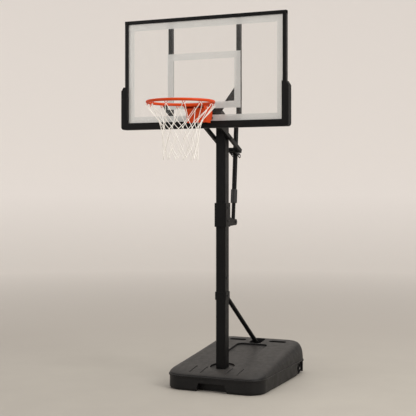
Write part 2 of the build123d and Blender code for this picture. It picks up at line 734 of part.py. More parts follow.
with BuildPart() as pole_spacers:
    spacer_l = ARM_X - ARM_W / 2 - POLE / 2 - 2 * GAP
    for pivot_z in (PIVOT_Z, PIVOT_HIGH_Z):
        for spacer_side in (-1, 1):
            spacer_x = spacer_side * (POLE / 2 + GAP + spacer_l / 2)
            with Locations((spacer_x, 0, pivot_z)):
                Cylinder(12, spacer_l, rotation=(0, 90, 0))
                Cylinder(PIVOT_R + 0.1, spacer_l, rotation=(0, 90, 0), mode=Mode.SUBTRACT)
save(pole_spacers, "pole_spacers")

# ---------------------------------------------------------------------------
# Adjuster strut.  strut_plane stands at the foot pin with z along the strut.
# ---------------------------------------------------------------------------

PIN_Y = STRUT_TOP_REACH * math.cos(arm_tilt)
PIN_Z = PIVOT_Z - STRUT_TOP_REACH * math.sin(arm_tilt)
strut_plane = Plane(
    origin=(0, STRUT_FOOT_Y, STRUT_FOOT_Z),
    x_dir=(1, 0, 0),
    z_dir=(0, PIN_Y - STRUT_FOOT_Y, PIN_Z - STRUT_FOOT_Z),
)

with BuildPart() as strut_rod:
    with BuildSketch(strut_plane.offset(14)):
        Circle(ROD_R)
        Circle(ROD_R - 3, mode=Mode.SUBTRACT)
    extrude(amount=ROD_TOP - 14)
    with BuildSketch(Plane.YZ.offset(-15)):
        with Locations((STRUT_FOOT_Y, STRUT_FOOT_Z)):
            Circle(14)
        with Locations((STRUT_FOOT_Y + 1, STRUT_FOOT_Z + 13)):
            Rectangle(26, 22)
    extrude(amount=30)
    with Locations((0, STRUT_FOOT_Y, STRUT_FOOT_Z)):
        Cylinder(5 + RUN, 60, rotation=(0, 90, 0), mode=Mode.SUBTRACT)
save(strut_rod, "strut_rod")

with BuildPart() as strut_foot_pin:
    add(cross_bolt(-27, 27, STRUT_FOOT_Y, STRUT_FOOT_Z, 5, 9, 6))
save(strut_foot_pin, "strut_foot_pin")

with BuildPart() as strut_tube:
    with BuildSketch(strut_plane.offset(TUBE_BOTTOM)):
        Circle(TUBE_R)
        Circle(TUBE_BORE_R, mode=Mode.SUBTRACT)
    extrude(amount=TUBE_TOP - TUBE_BOTTOM)
    # domed top plug
    with BuildSketch(strut_plane.offset(TUBE_TOP - 1)):
        Circle(TUBE_R)
    extrude(amount=5)
    fillet(strut_tube.edges().group_by(Axis.Z)[-1], 3)
    with Locations((0, PIN_Y, PIN_Z)):
        Cylinder(STRUT_PIN_R + 0.1, 60, rotation=(0, 90, 0), mode=Mode.SUBTRACT)
save(strut_tube, "strut_tube")

with BuildPart() as strut_pin:
    add(cross_bolt(-29, 29, PIN_Y, PIN_Z, STRUT_PIN_R, HEX_R, 6))
save(strut_pin, "strut_pin")

with BuildPart() as strut_grip:
    with BuildSketch(strut_plane.offset(GRIP_BOTTOM)):
        Circle(GRIP_R)
    extrude(amount=GRIP_TOP - GRIP_BOTTOM)
    fillet(strut_grip.edges().filter_by(GeomType.CIRCLE), 5)
    # finger flutes round the sleeve
    with BuildSketch(strut_plane.offset(GRIP_BOTTOM + 14)):
        with PolarLocations(GRIP_R + 3, 12):
            Circle(5)
    extrude(amount=GRIP_TOP - GRIP_BOTTOM - 28, mode=Mode.SUBTRACT)
    with BuildSketch(strut_plane.offset(TUBE_BOTTOM - GAP)):
        Circle(TUBE_R + RUN)
    extrude(amount=GRIP_TOP - TUBE_BOTTOM + 5, mode=Mode.SUBTRACT)
    with BuildSketch(strut_plane.offset(GRIP_BOTTOM - 1)):
        Circle(ROD_R + 0.5)
    extrude(amount=40, mode=Mode.SUBTRACT)
save(strut_grip, "strut_grip")

# ---------------------------------------------------------------------------
# Backboard
# ---------------------------------------------------------------------------

FRAME_REAR_Y = BOARD_Y + FRAME_D
FRAME_MID_Y = BOARD_Y + FRAME_D / 2
OPEN_W = FRAME_W - 2 * FRAME_BAR
OPEN_Z0 = FRAME_Z0 + FRAME_BAR
OPEN_Z1 = FRAME_Z1 - FRAME_BAR
SHEET_Y = BOARD_Y + SHEET_SET_BACK
PRINT_Y = SHEET_Y + SHEET_T + 0.05
BAR_FRONT_Y = PRINT_Y + PRINT_T + 0.65
BAR_REAR_Y = BAR_FRONT_Y + REAR_BAR_D
BAR_MID_Y = BAR_FRONT_Y + REAR_BAR_D / 2


def frame_tube(length):
    """Hollow frame bar along its own Z, deep across Y."""
    with BuildPart() as tube:
        with BuildSketch(Plane.XY):
            RectangleRounded(FRAME_BAR, FRAME_D, 3)
            RectangleRounded(FRAME_BAR - 4, FRAME_D - 4, 1, mode=Mode.SUBTRACT)
        extrude(amount=length / 2, both=True)
    return tube.part


def bar_tube(length):
    """Hollow bar along its own Z, deep across Y."""
    with BuildPart() as tube:
        with BuildSketch(Plane.XY):
            RectangleRounded(REAR_BAR, REAR_BAR_D, 2.5)
            RectangleRounded(REAR_BAR - 4, REAR_BAR_D - 4, 1, mode=Mode.SUBTRACT)
        extrude(amount=length / 2, both=True)
    return tube.part


for bar_z, bar_name in ((FRAME_Z0 + FRAME_BAR / 2, "frame_bottom"), (FRAME_Z1 - FRAME_BAR / 2, "frame_top")):
    with BuildPart() as frame_bar:
        with Locations(Location((0, FRAME_MID_Y, bar_z), (0, 90, 0))):
            add(frame_tube(FRAME_W))
    save(frame_bar, bar_name)

for bar_side, bar_name in ((-1, "frame_left"), (1, "frame_right")):
    with BuildPart() as frame_bar:
        with Locations((bar_side * (FRAME_W - FRAME_BAR) / 2, FRAME_MID_Y, (FRAME_Z0 + FRAME_Z1) / 2)):
            add(frame_tube(FRAME_Z1 - FRAME_Z0 - 2 * FRAME_BAR))
    save(frame_bar, bar_name)

for bar_side, bar_name in ((-1, "rear_bar_left"), (1, "rear_bar_right")):
    with BuildPart() as rear_bar:
        with Locations((bar_side * REAR_BAR_X, BAR_MID_Y, (OPEN_Z0 + OPEN_Z1) / 2)):
            add(bar_tube(OPEN_Z1 - OPEN_Z0))
    save(rear_bar, bar_name)

BOLT_X = 57.0
for bar_z, bar_name in ((CROSSBAR_LOW_Z, "crossbar_lower"), (CROSSBAR_HIGH_Z, "crossbar_upper")):
    with BuildPart() as crossbar:
        with Locations(Location((0, BAR_MID_Y, bar_z), (0, 90, 0))):
            add(bar_tube(2 * REAR_BAR_X - REAR_BAR))
        with Locations((-BOLT_X, BAR_MID_Y, bar_z), (BOLT_X, BAR_MID_Y, bar_z)):
            Cylinder(4.2, 2 * REAR_BAR, rotation=(90, 0, 0), mode=Mode.SUBTRACT)
    save(crossbar, bar_name)

CARRIAGE_PLATE_W = 230.0
CARRIAGE_Z0 = CROSSBAR_LOW_Z - REAR_BAR / 2
CARRIAGE_Z1 = CROSSBAR_HIGH_Z + REAR_BAR / 2
with BuildPart() as carriage:
    with Locations((0, BAR_REAR_Y + PLATE / 2, (CARRIAGE_Z0 + CARRIAGE_Z1) / 2)):
        Box(CARRIAGE_PLATE_W, PLATE, CARRIAGE_Z1 - CARRIAGE_Z0)
    fillet(carriage.edges().filter_by(Axis.Y), 12)
    for cheek_side in (-1, 1):
        cheek_from = CARRIAGE_X if cheek_side > 0 else -CARRIAGE_X - PLATE
        with BuildSketch(Plane.YZ.offset(cheek_from)):
            with BuildLine():
                Polyline(
                    (BAR_REAR_Y + PLATE, CARRIAGE_LOW_Z - 18),
                    (CARRIAGE_Y + 4, CARRIAGE_LOW_Z - 18),
                )
                ThreePointArc(
                    (CARRIAGE_Y + 4, CARRIAGE_LOW_Z - 18),
                    (CARRIAGE_Y + 18, CARRIAGE_LOW_Z),
                    (CARRIAGE_Y + 16, CARRIAGE_LOW_Z + 14),
                )
                Line((CARRIAGE_Y + 16, CARRIAGE_LOW_Z + 14), (CARRIAGE_Y + 16, CARRIAGE_HIGH_Z - 8))
                ThreePointArc(
                    (CARRIAGE_Y + 16, CARRIAGE_HIGH_Z - 8),
                    (CARRIAGE_Y + 12, CARRIAGE_HIGH_Z + 12),
                    (CARRIAGE_Y, CARRIAGE_HIGH_Z + 16),
                )
                Polyline(
                    (CARRIAGE_Y, CARRIAGE_HIGH_Z + 16),
                    (BAR_REAR_Y + PLATE, CARRIAGE_HIGH_Z + 8),
                    (BAR_REAR_Y + PLATE, CARRIAGE_LOW_Z - 18),
                )
            make_face()
        extrude(amount=PLATE)
    for pivot_z in (CARRIAGE_LOW_Z, CARRIAGE_HIGH_Z):
        with Locations((0, CARRIAGE_Y, pivot_z)):
            Cylinder(PIVOT_R + 0.1, 2 * CARRIAGE_PLATE_W, rotation=(0, 90, 0), mode=Mode.SUBTRACT)
    for bolt_z in (CROSSBAR_LOW_Z, CROSSBAR_HIGH_Z):
        with Locations((-BOLT_X, BAR_REAR_Y, bolt_z), (BOLT_X, BAR_REAR_Y, bolt_z)):
            Cylinder(4.2, 60, rotation=(90, 0, 0), mode=Mode.SUBTRACT)
save(carriage, "carriage")

with BuildPart() as carriage_pivot_bolts:
    for pivot_z in (CARRIAGE_LOW_Z, CARRIAGE_HIGH_Z):
        add(cross_bolt(-PIVOT_END_X, PIVOT_END_X, CARRIAGE_Y, pivot_z, PIVOT_R, HEX_R, HEX_H))
save(carriage_pivot_bolts, "carriage_pivot_bolts")

with BuildPart() as carriage_washers:
    washer_l = ARM_X - ARM_W / 2 - CARRIAGE_X - PLATE - 2 * GAP
    for pivot_z in (CARRIAGE_LOW_Z, CARRIAGE_HIGH_Z):
        for washer_side in (-1, 1):
            washer_x = washer_side * (CARRIAGE_X + PLATE + GAP + washer_l / 2)
            with Locations((washer_x, CARRIAGE_Y, pivot_z)):
                Cylinder(12, washer_l, rotation=(0, 90, 0))
                Cylinder(PIVOT_R + 0.1, washer_l, rotation=(0, 90, 0), mode=Mode.SUBTRACT)
save(carriage_washers, "carriage_washers")


plate_plane = Plane(origin=(0, BAR_REAR_Y, 0), x_dir=(1, 0, 0), z_dir=(0, -1, 0))

with BuildPart() as brace_plate_right:
    # diagonal from the carriage out to the right rear bar
    with BuildSketch(plate_plane.offset(-PLATE)):
        Polygon(
            (74, 2116),
            (104, 2116),
            (184, 2230),
            (292, 2230),
            (292, 2372),
            (264, 2372),
            align=None,
        )
    extrude(amount=-PLATE)
    with BuildSketch(plate_plane):
        with Locations((REAR_BAR_X, 2300)):
            Rectangle(REAR_BAR - 6, 130)
    extrude(amount=-PLATE)
save(brace_plate_right, "brace_plate_right")

with BuildPart() as brace_plate_left:
    # short gusset at the foot of the left rear bar
    with BuildSketch(plate_plane):
        Polygon(
            (-268, 2126),
            (-268, 2214),
            (-362, 2214),
            (-318, 2126),
            align=None,
        )
    extrude(amount=-PLATE)
save(brace_plate_left, "brace_plate_left")

with BuildPart() as board_sheet:
    with Locations((0, SHEET_Y + SHEET_T / 2, (OPEN_Z0 + OPEN_Z1) / 2)):
        Box(OPEN_W - 1, SHEET_T, OPEN_Z1 - OPEN_Z0 - 1)
    for bolt_z in (CROSSBAR_LOW_Z, CROSSBAR_HIGH_Z):
        with Locations((-BOLT_X, SHEET_Y, bolt_z), (BOLT_X, SHEET_Y, bolt_z)):
            Cylinder(4.2, 40, rotation=(90, 0, 0), mode=Mode.SUBTRACT)
save(board_sheet, "board_sheet")

print_plane = Plane(origin=(0, PRINT_Y, 0), x_dir=(1, 0, 0), z_dir=(0, -1, 0))
border_z0 = OPEN_Z0 + BORDER_BOTTOM
border_z1 = OPEN_Z1 - BORDER_TOP
with BuildPart() as border_print:
    with BuildSketch(print_plane):
        with Locations((0, (OPEN_Z0 + OPEN_Z1) / 2)):
            Rectangle(OPEN_W - 2, OPEN_Z1 - OPEN_Z0 - 2)
        with Locations((0, (border_z0 + border_z1) / 2)):
            Rectangle(OPEN_W - 2 * BORDER_SIDE, border_z1 - border_z0, mode=Mode.SUBTRACT)
        with Locations((-BOLT_X, CROSSBAR_LOW_Z), (BOLT_X, CROSSBAR_LOW_Z)):
            Circle(4.2, mode=Mode.SUBTRACT)
    extrude(amount=-PRINT_T)
save(border_print, "border_print")

with BuildPart() as target_print:
    with BuildSketch(print_plane):
        with Locations((0, (TARGET_Z0 + TARGET_Z1) / 2)):
            Rectangle(TARGET_W, TARGET_Z1 - TARGET_Z0)
            Rectangle(
                TARGET_W - 2 * TARGET_STRIP,
                TARGET_Z1 - TARGET_Z0 - 2 * TARGET_STRIP,
                mode=Mode.SUBTRACT,
            )
        with Locations((-BOLT_X, CROSSBAR_HIGH_Z), (BOLT_X, CROSSBAR_HIGH_Z)):
            Circle(4.2, mode=Mode.SUBTRACT)
    extrude(amount=-PRINT_T)
save(target_print, "target_print")

PAD_X = FRAME_W / 2 + PAD_OUT
PAD_IN_X = PAD_X - PAD_OUT - PAD_IN
PAD_Y0 = BOARD_Y - PAD_FRONT
PAD_Y1 = FRAME_REAR_Y + PAD_REAR_LIP
pad_plane = Plane(origin=(0, PAD_Y1, 0), x_dir=(1, 0, 0), z_dir=(0, -1, 0))
with BuildPart() as edge_pad:
    with BuildSketch(pad_plane):
        with BuildLine():
            Polyline(
                (-PAD_IN_X, PAD_TOP_Z),
                (-PAD_X + 22, PAD_TOP_Z),
                (-PAD_X, PAD_TOP_Z - 34),
                (-PAD_X, PAD_Z0),
                (PAD_X, PAD_Z0),
                (PAD_X, PAD_TOP_Z - 34),
                (PAD_X - 22, PAD_TOP_Z),
                (PAD_IN_X, PAD_TOP_Z),
                (PAD_IN_X, PAD_SHELF_Z),
                (-PAD_IN_X, PAD_SHELF_Z),
                (-PAD_IN_X, PAD_TOP_Z),
            )
        make_face()
    extrude(amount=PAD_Y1 - PAD_Y0)
    fillet(edge_pad.edges().filter_by(Axis.Y).group_by(Axis.Z)[0], 22)
    fillet(edge_pad.edges().group_by(Axis.Y)[0], 5)
    # slot that the frame sits in, open towards the sheet
    slot_y = (BOARD_Y - GAP + PAD_Y1 + 1) / 2
    with Locations((0, slot_y, (FRAME_Z0 - GAP + FRAME_Z1) / 2)):
        Box(FRAME_W + 2 * GAP, PAD_Y1 + 1 - BOARD_Y + GAP, FRAME_Z1 - FRAME_Z0 + GAP, mode=Mode.SUBTRACT)
save(edge_pad, "edge_pad")

with BuildPart() as pad_screws:
    for screw_side in (-1, 1):
        with Locations(
            (screw_side * (FRAME_W / 2 - 11), FRAME_REAR_Y + 1.5, 2110),
            (screw_side * (FRAME_W / 2 - 11), FRAME_REAR_Y + 1.5, 2230),
            (screw_side * (FRAME_W / 2 - 11), FRAME_REAR_Y + 1.5, 2340),
            (screw_side * 180, FRAME_REAR_Y + 1.5, FRAME_Z0 + FRAME_BAR / 2),
            (screw_side * 440, FRAME_REAR_Y + 1.5, FRAME_Z0 + FRAME_BAR / 2),
        ):
            Cylinder(5.5, 3, rotation=(90, 0, 0))
save(pad_screws, "pad_screws")

# ---------------------------------------------------------------------------
# Rim
# ---------------------------------------------------------------------------

RIM_PLATE_T = 6.0
RIM_PLATE_Y = SHEET_Y - RIM_PLATE_T - 0.05
with BuildPart() as rim_plate:
    with Locations((0, RIM_PLATE_Y + RIM_PLATE_T / 2, (RIM_PLATE_Z0 + RIM_PLATE_Z1) / 2)):
        Box(RIM_PLATE_W, RIM_PLATE_T, RIM_PLATE_Z1 - RIM_PLATE_Z0)
    fillet(rim_plate.edges().filter_by(Axis.Y), 8)
    for lug_side in (-1, 1):
        lug_from = LUG_X if lug_side > 0 else -LUG_X - 6
        with BuildSketch(Plane.YZ.offset(lug_from)):
            with Locations((RIM_PIN_Y, RIM_PIN_Z)):
                Circle(10.5)
            with Locations(((RIM_PIN_Y + RIM_PLATE_Y) / 2 + 0.5, RIM_PIN_Z)):
                Rectangle(RIM_PLATE_Y - RIM_PIN_Y + 1, 21)
        extrude(amount=6)
    with Locations((0, RIM_PIN_Y, RIM_PIN_Z)):
        Cylinder(RIM_PIN_R + 0.1, HOUSING_W, rotation=(0, 90, 0), mode=Mode.SUBTRACT)
    for bolt_z in (CROSSBAR_LOW_Z, CROSSBAR_HIGH_Z):
        with Locations((-BOLT_X, RIM_PLATE_Y, bolt_z), (BOLT_X, RIM_PLATE_Y, bolt_z)):
            Cylinder(4.2, 40, rotation=(90, 0, 0), mode=Mode.SUBTRACT)
save(rim_plate, "rim_plate")

with BuildPart() as rim_bolts:
    bolt_y0 = RIM_PLATE_Y - 5
    bolt_y1 = BAR_REAR_Y + PLATE + 9
    for bolt_z in (CROSSBAR_LOW_Z, CROSSBAR_HIGH_Z):
        for bolt_x in (-BOLT_X, BOLT_X):
            with Locations((bolt_x, (bolt_y0 + bolt_y1) / 2, bolt_z)):
                Cylinder(4, bolt_y1 - bolt_y0, rotation=(90, 0, 0))
            with Locations((bolt_x, bolt_y0 + 2.45, bolt_z)):
                Cylinder(8, 4.9, rotation=(90, 0, 0))
            with BuildSketch(Plane(origin=(bolt_x, BAR_REAR_Y + PLATE + 0.1, bolt_z), z_dir=(0, 1, 0))):
                RegularPolygon(7.5, 6)
            extrude(amount=6)
save(rim_bolts, "rim_bolts")

with BuildPart() as rim_pin:
    with Locations((0, RIM_PIN_Y, RIM_PIN_Z)):
        Cylinder(RIM_PIN_R, HOUSING_W + 6, rotation=(0, 90, 0))
    for head_side in (-1, 1):
        with Locations((head_side * (HOUSING_W / 2 + 2.5), RIM_PIN_Y, RIM_PIN_Z)):
            Cylinder(8, 4, rotation=(0, 90, 0))
save(rim_pin, "rim_pin")

COIL_R = 8.6
COIL_WIRE_R = 1.4
COIL_L = 27.0
COIL_TURNS = 6
with BuildPart() as rim_springs:
    for coil_side in (-1, 1):
        coil_start = 4.0 if coil_side > 0 else -4.0 - COIL_L
        with BuildLine() as coil_path:
            Helix(
                pitch=COIL_L / COIL_TURNS,
                height=COIL_L,
                radius=COIL_R,
                center=(coil_start, RIM_PIN_Y, RIM_PIN_Z),
                direction=(1, 0, 0),
            )
        with BuildSketch(Plane(coil_path.line @ 0, z_dir=coil_path.line % 0)):
            Circle(COIL_WIRE_R)
        sweep(path=coil_path.line, is_frenet=True)
save(rim_springs, "rim_springs")


def housing_profile(inset):
    """Side face of the housing in the YZ plane, drawn in by inset."""
    top_z = RING_Z - RING_ROD_R - inset
    with BuildSketch(Plane.YZ, mode=Mode.PRIVATE) as face:
        with BuildLine():
            Polyline(
                (HOUSING_FRONT_LOW_Y + inset, HOUSING_Z0 - inset),
                (HOUSING_LOW_REAR_Y + inset, HOUSING_Z0 - inset),
                (HOUSING_STEP_Y + inset, HOUSING_STEP_Z - inset),
                (HOUSING_REAR_Y + inset, HOUSING_STEP_Z - inset),
                (HOUSING_REAR_Y + inset, top_z),
                (HOUSING_FRONT_TOP_Y + inset, top_z),
            )
            ThreePointArc(
                (HOUSING_FRONT_TOP_Y + inset, top_z),
                (HOUSING_FRONT_LOW_Y - 12 + inset, (top_z + HOUSING_Z0) / 2 + 16),
                (HOUSING_FRONT_LOW_Y + inset, HOUSING_Z0 - inset),
            )
        make_face()
    return face.sketch


with BuildPart() as rim_housing:
    add(extrude(housing_profile(0), amount=HOUSING_W / 2, both=True, mode=Mode.PRIVATE))
    hollow = housing_profile(HOUSING_WALL)
    inner = extrude(hollow, amount=HOUSING_W / 2 - HOUSING_WALL, both=True, mode=Mode.PRIVATE)
    add(inner, mode=Mode.SUBTRACT)
    # notch for the rear net hook, and the concave front edge under the ring
    with Locations((0, HOUSING_FRONT_TOP_Y + 20, RING_Z - 16)):
        Box(34, 60, 24, mode=Mode.SUBTRACT)
    with Locations((0, RING_Y, RING_Z)):
        Cylinder(RING_R - 11, 200, mode=Mode.SUBTRACT)
    with Locations((0, RIM_PIN_Y, RIM_PIN_Z)):
        Cylinder(RIM_PIN_R + RUN, 2 * HOUSING_W, rotation=(0, 90, 0), mode=Mode.SUBTRACT)
save(rim_housing, "rim_housing")

with BuildPart() as rim_ring:
    with Locations((0, RING_Y, RING_Z + 0.1)):
        Torus(RING_R, RING_ROD_R)
    for hook in range(HOOKS):
        turn = 360 / HOOKS * hook
        hook_x = RING_R * math.cos(math.radians(turn))
        hook_y = RING_R * math.sin(math.radians(turn))
        with Locations(Location((hook_x, RING_Y + hook_y, RING_Z - HOOK_DROP), (0, 0, turn))):
            Torus(HOOK_R, HOOK_WIRE_R, rotation=(0, 90, 0))
save(rim_ring, "rim_ring")

NET_WALL = 3.0
with BuildPart() as net:
    with BuildSketch(Plane(origin=(0, RING_Y, 0), x_dir=(1, 0, 0), z_dir=(0, -1, 0))):
        with BuildLine():
            Spline((RING_R - 9, NET_TOP_Z), (150, 2040), (131, 1950), (126, NET_BOTTOM_Z))
            Line((126, NET_BOTTOM_Z), (126 - NET_WALL, NET_BOTTOM_Z))
            Spline(
                (126 - NET_WALL, NET_BOTTOM_Z),
                (131 - NET_WALL, 1950),
                (150 - NET_WALL, 2040),
                (RING_R - 9 - NET_WALL, NET_TOP_Z),
            )
            Line((RING_R - 9 - NET_WALL, NET_TOP_Z), (RING_R - 9, NET_TOP_Z))
        make_face()
    revolve(axis=Axis((0, RING_Y, 0), (0, 0, 1)))
save(net, "net")
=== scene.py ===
import json
import math
import random

import bpy
from mathutils import Matrix, Vector


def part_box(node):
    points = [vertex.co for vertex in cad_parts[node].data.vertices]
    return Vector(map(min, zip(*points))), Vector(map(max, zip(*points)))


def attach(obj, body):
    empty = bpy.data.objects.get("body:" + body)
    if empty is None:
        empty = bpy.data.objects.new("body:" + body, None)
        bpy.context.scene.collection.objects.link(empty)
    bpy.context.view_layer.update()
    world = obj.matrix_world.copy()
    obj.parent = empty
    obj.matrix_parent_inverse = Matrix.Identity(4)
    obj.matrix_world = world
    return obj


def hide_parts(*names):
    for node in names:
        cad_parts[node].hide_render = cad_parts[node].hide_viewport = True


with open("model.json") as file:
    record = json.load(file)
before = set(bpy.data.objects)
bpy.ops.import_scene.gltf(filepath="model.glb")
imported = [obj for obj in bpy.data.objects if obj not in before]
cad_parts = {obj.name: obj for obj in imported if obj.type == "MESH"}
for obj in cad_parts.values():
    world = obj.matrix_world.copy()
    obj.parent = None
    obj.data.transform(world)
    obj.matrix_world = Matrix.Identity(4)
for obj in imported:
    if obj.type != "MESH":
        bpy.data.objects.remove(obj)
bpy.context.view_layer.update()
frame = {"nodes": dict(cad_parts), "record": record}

# ---------------------------------------------------------------------------
# Portable basketball hoop: looks.  Metres, +Z up, -Y faces the court, and the
# origin is on the floor under the pole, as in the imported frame.
# ---------------------------------------------------------------------------

FULL_TURN = 2 * math.pi
random.seed(7)

# Camera and room
CAMERA_PLACE = Vector((2.961, -7.110, 1.591))
CAMERA_YAW = math.radians(23.458)
CAMERA_LENS = 84.37
CAMERA_SHIFT_Y = -0.0532
ROOM_RADIUS = 13.0
ROOM_BEND = 2.2
ROOM_HEIGHT = 7.5
FLOOR_NEAR = 1.5              # the floor's own tone ends here
FLOOR_FAR = 3.4               # and a paler one begins here
WALL_RISE = 1.4               # height over which the sweep lightens into the wall
FLOOR_PAINT = (0.44, 0.41, 0.365, 1.0)
FLOOR_PAINT_WORN = (0.47, 0.44, 0.39, 1.0)
SWEEP_PAINT = (0.50, 0.465, 0.42, 1.0)
WALL_PAINT = (0.71, 0.675, 0.645, 1.0)
WALL_GLOW = 0.37

# Lamps: name, place, aim, size, watts, tint
LAMPS = (
    ("key_light", (5.4, -2.2, 4.2), (0, 0, 1.3), (2.4, 3.4), 215, (1.0, 0.98, 0.95)),
    ("top_light", (0.5, 0.8, 6.6), (0, 0.2, 0), (5.0, 5.0), 150, (1.0, 0.99, 0.97)),
    ("fill_light", (-4.5, -5.5, 3.2), (0, 0, 1.4), (3.5, 3.0), 70, (0.97, 0.98, 1.0)),
)
WORLD_TINT = (0.86, 0.83, 0.80, 1.0)
WORLD_STRENGTH = 0.62

# Net
HOOKS = 12
CORD_R = 0.0023
CORD_LOBES = 3
CORD_TWIST = 420.0            # radians of twist per metre of cord
CORD_STEP = 0.0042
CORD_SIDES = 9
RING_ROD_R = 0.0105
HOOK_BAR_UP = 0.0068          # hook's lowest point to the middle of the cord on it
KNOT_R = 0.0044
NET_ROWS = ((2.055, 0.158), (2.006, 0.138), (1.936, 0.131), (1.852, 0.127), (1.792, 0.125))
TAIL_L = 0.012
TAIL_SPREAD = 0.004
TAIL_STEP = 0.002
TIGHT_R = CORD_R * 1.05       # cord in the knots and their tails
CORD_SAG = 0.0006
KNOT_SIDES = 7
# where the cord passes over a hook: outwards, along the ring, and down
HOOK_LOOP = (
    (-0.0075, -0.010, 0.020),
    (-0.0062, -0.004, 0.0065),
    (0, 0, 0),
    (0.0062, 0.004, 0.0065),
    (0.0040, 0.010, 0.020),
)

# Weld beads
WELD_R = 0.0022
WELD_PITCH = 0.0042
WELD_SIDES = 8
WELD_TAPER = 0.004
WELD_RIPPLE = 0.16
FRAME_WELD_INSET = 0.002      # from the seam's ends
RING_WELD_R = 0.0028
RING_WELD_OUT = 0.7           # in rod radii, each side of the rod's middle
RING_WELD_SPAN = 0.9          # share of the housing's width
RING_WELD_UP = 0.0015
RING_WELD_STEPS = 12
ARM_WELD_HALF_L = 0.012
ARM_WELD_INSET = 0.009        # from the crosspiece's front and rear edges
ARM_FALL = 0.43               # how far the arms fall for each metre to the rear
ARM_NORMAL = Vector((0, 0.3971, 0.9178))

# Pad
PAD_CROWN = 0.0022
PAD_EDGE_R = 0.006
SEAM_DEPTH = 0.0011
SEAM_HALF_W = 0.003
SEAM_LIP = 0.35               # share of the depth at the seam's lips
SEAM_LIP_W = 0.0014


# ---------------------------------------------------------------------------
# Materials
# ---------------------------------------------------------------------------


class Shading:
    """A material under construction, with short names for the nodes it uses."""

    def __init__(self, name):
        self.material = bpy.data.materials.new(name)
        self.material.use_nodes = True
        self.tree = self.material.node_tree
        self.shader = self.tree.nodes["Principled BSDF"]
        self.output = self.tree.nodes["Material Output"]
        self.place = self.add("ShaderNodeTexCoord").outputs["Object"]
        self.geometry = self.add("ShaderNodeNewGeometry")

    def add(self, kind, **settings):
        node = self.tree.nodes.new(kind)
        for key, value in settings.items():
            setattr(node, key, value)
        return node

    def feed(self, socket, value):
        if isinstance(value, bpy.types.NodeSocket):
            self.tree.links.new(value, socket)
        else:
            socket.default_value = value

    def set(self, **values):
        for key, value in values.items():
            self.feed(self.shader.inputs[key.replace("_", " ")], value)

    def stretched(self, scale):
        mapping = self.add("ShaderNodeMapping")
        self.feed(mapping.inputs["Vector"], self.place)
        mapping.inputs["Scale"].default_value = scale
        return mapping.outputs["Vector"]

    def noise(self, scale, detail=2.0, rough=0.5, place=None):
        node = self.add("ShaderNodeTexNoise")
        self.feed(node.inputs["Vector"], place or self.place)
        self.feed(node.inputs["Scale"], scale)
        self.feed(node.inputs["Detail"], detail)
        self.feed(node.inputs["Roughness"], rough)
        return node.outputs["Fac"]

    def cells(self, scale, feature="F1", place=None):
        node = self.add("ShaderNodeTexVoronoi", feature=feature)
        self.feed(node.inputs["Vector"], place or self.place)
        self.feed(node.inputs["Scale"], scale)
        return node.outputs["Distance"]

    def span(self, value, from_low, from_high, low=0.0, high=1.0):
        node = self.add("ShaderNodeMapRange")
        for socket, setting in zip(node.inputs, (value, from_low, from_high, low, high)):
            self.feed(socket, setting)
        return node.outputs["Result"]

    def math(self, operation, a, b=0.0):
        node = self.add("ShaderNodeMath", operation=operation)
        self.feed(node.inputs[0], a)
        self.feed(node.inputs[1], b)
        return node.outputs[0]

    def blend(self, share, a, b):
        node = self.add("ShaderNodeMix", data_type="RGBA")
        self.feed(node.inputs[0], share)
        self.feed(node.inputs[6], a)
        self.feed(node.inputs[7], b)
        return node.outputs[2]

    def axis(self, vector, name):
        node = self.add("ShaderNodeSeparateXYZ")
        self.feed(node.inputs[0], vector)
        return node.outputs[name]

    def bump(self, height, depth, strength=1.0, normal=None):
        node = self.add("ShaderNodeBump")
        self.feed(node.inputs["Height"], height)
        node.inputs["Distance"].default_value = depth
        node.inputs["Strength"].default_value = strength
        if normal is not None:
            self.feed(node.inputs["Normal"], normal)
        return node.outputs["Normal"]

    def rounded(self, radius):
        """Normal that rounds the sharp edges, and a mask that is 1 on them."""
        node = self.add("ShaderNodeBevel", samples=4)
        node.inputs["Radius"].default_value = radius
        dot = self.add("ShaderNodeVectorMath", operation="DOT_PRODUCT")
        self.feed(dot.inputs[0], node.outputs["Normal"])
        self.feed(dot.inputs[1], self.geometry.outputs["Normal"])
        return node.outputs["Normal"], self.span(dot.outputs["Value"], 0.97, 0.75)

    def facing_up(self):
        return self.span(self.axis(self.geometry.outputs["Normal"], "Z"), 0.55, 0.98)


def colour(red, green, blue):
    return (red, green, blue, 1.0)


def powder_coat(name, base, worn, rough, gloss=0.3, coat=0.0, edge=0.0016):
    """Baked powder paint: fine orange peel, slight cloudiness, rubbed edges and a little dust."""
    look = Shading(name)
    round_normal, edges = look.rounded(edge)
    clouds = look.noise(5.0, 3.0)
    patches = look.noise(70.0, 4.0, 0.6)
    rubbed = look.math("MULTIPLY", edges, look.span(patches, 0.42, 0.66))
    tinted = look.blend(look.span(clouds, 0.35, 0.7, 0.0, 0.22), base, worn)
    dusty = look.math("MULTIPLY", look.facing_up(), look.span(patches, 0.3, 0.8, 0.0, 0.045))
    coated = look.blend(dusty, tinted, colour(0.22, 0.20, 0.18))
    look.set(Base_Color=look.blend(look.math("MULTIPLY", rubbed, 0.55), coated, worn))
    rough_spread = look.span(look.noise(40.0, 4.0), 0.3, 0.7, rough - 0.06, rough + 0.08)
    look.set(Roughness=look.math("ADD", rough_spread, look.math("MULTIPLY", dusty, 0.8)))
    peel = look.math("ADD", look.noise(620.0, 2.0), look.math("MULTIPLY", look.cells(1500.0), 0.35))
    look.set(Normal=look.bump(peel, 0.00012, 0.35, round_normal))
    look.set(Specular_IOR_Level=gloss, Coat_Weight=coat, Coat_Roughness=0.18)
    return look.material


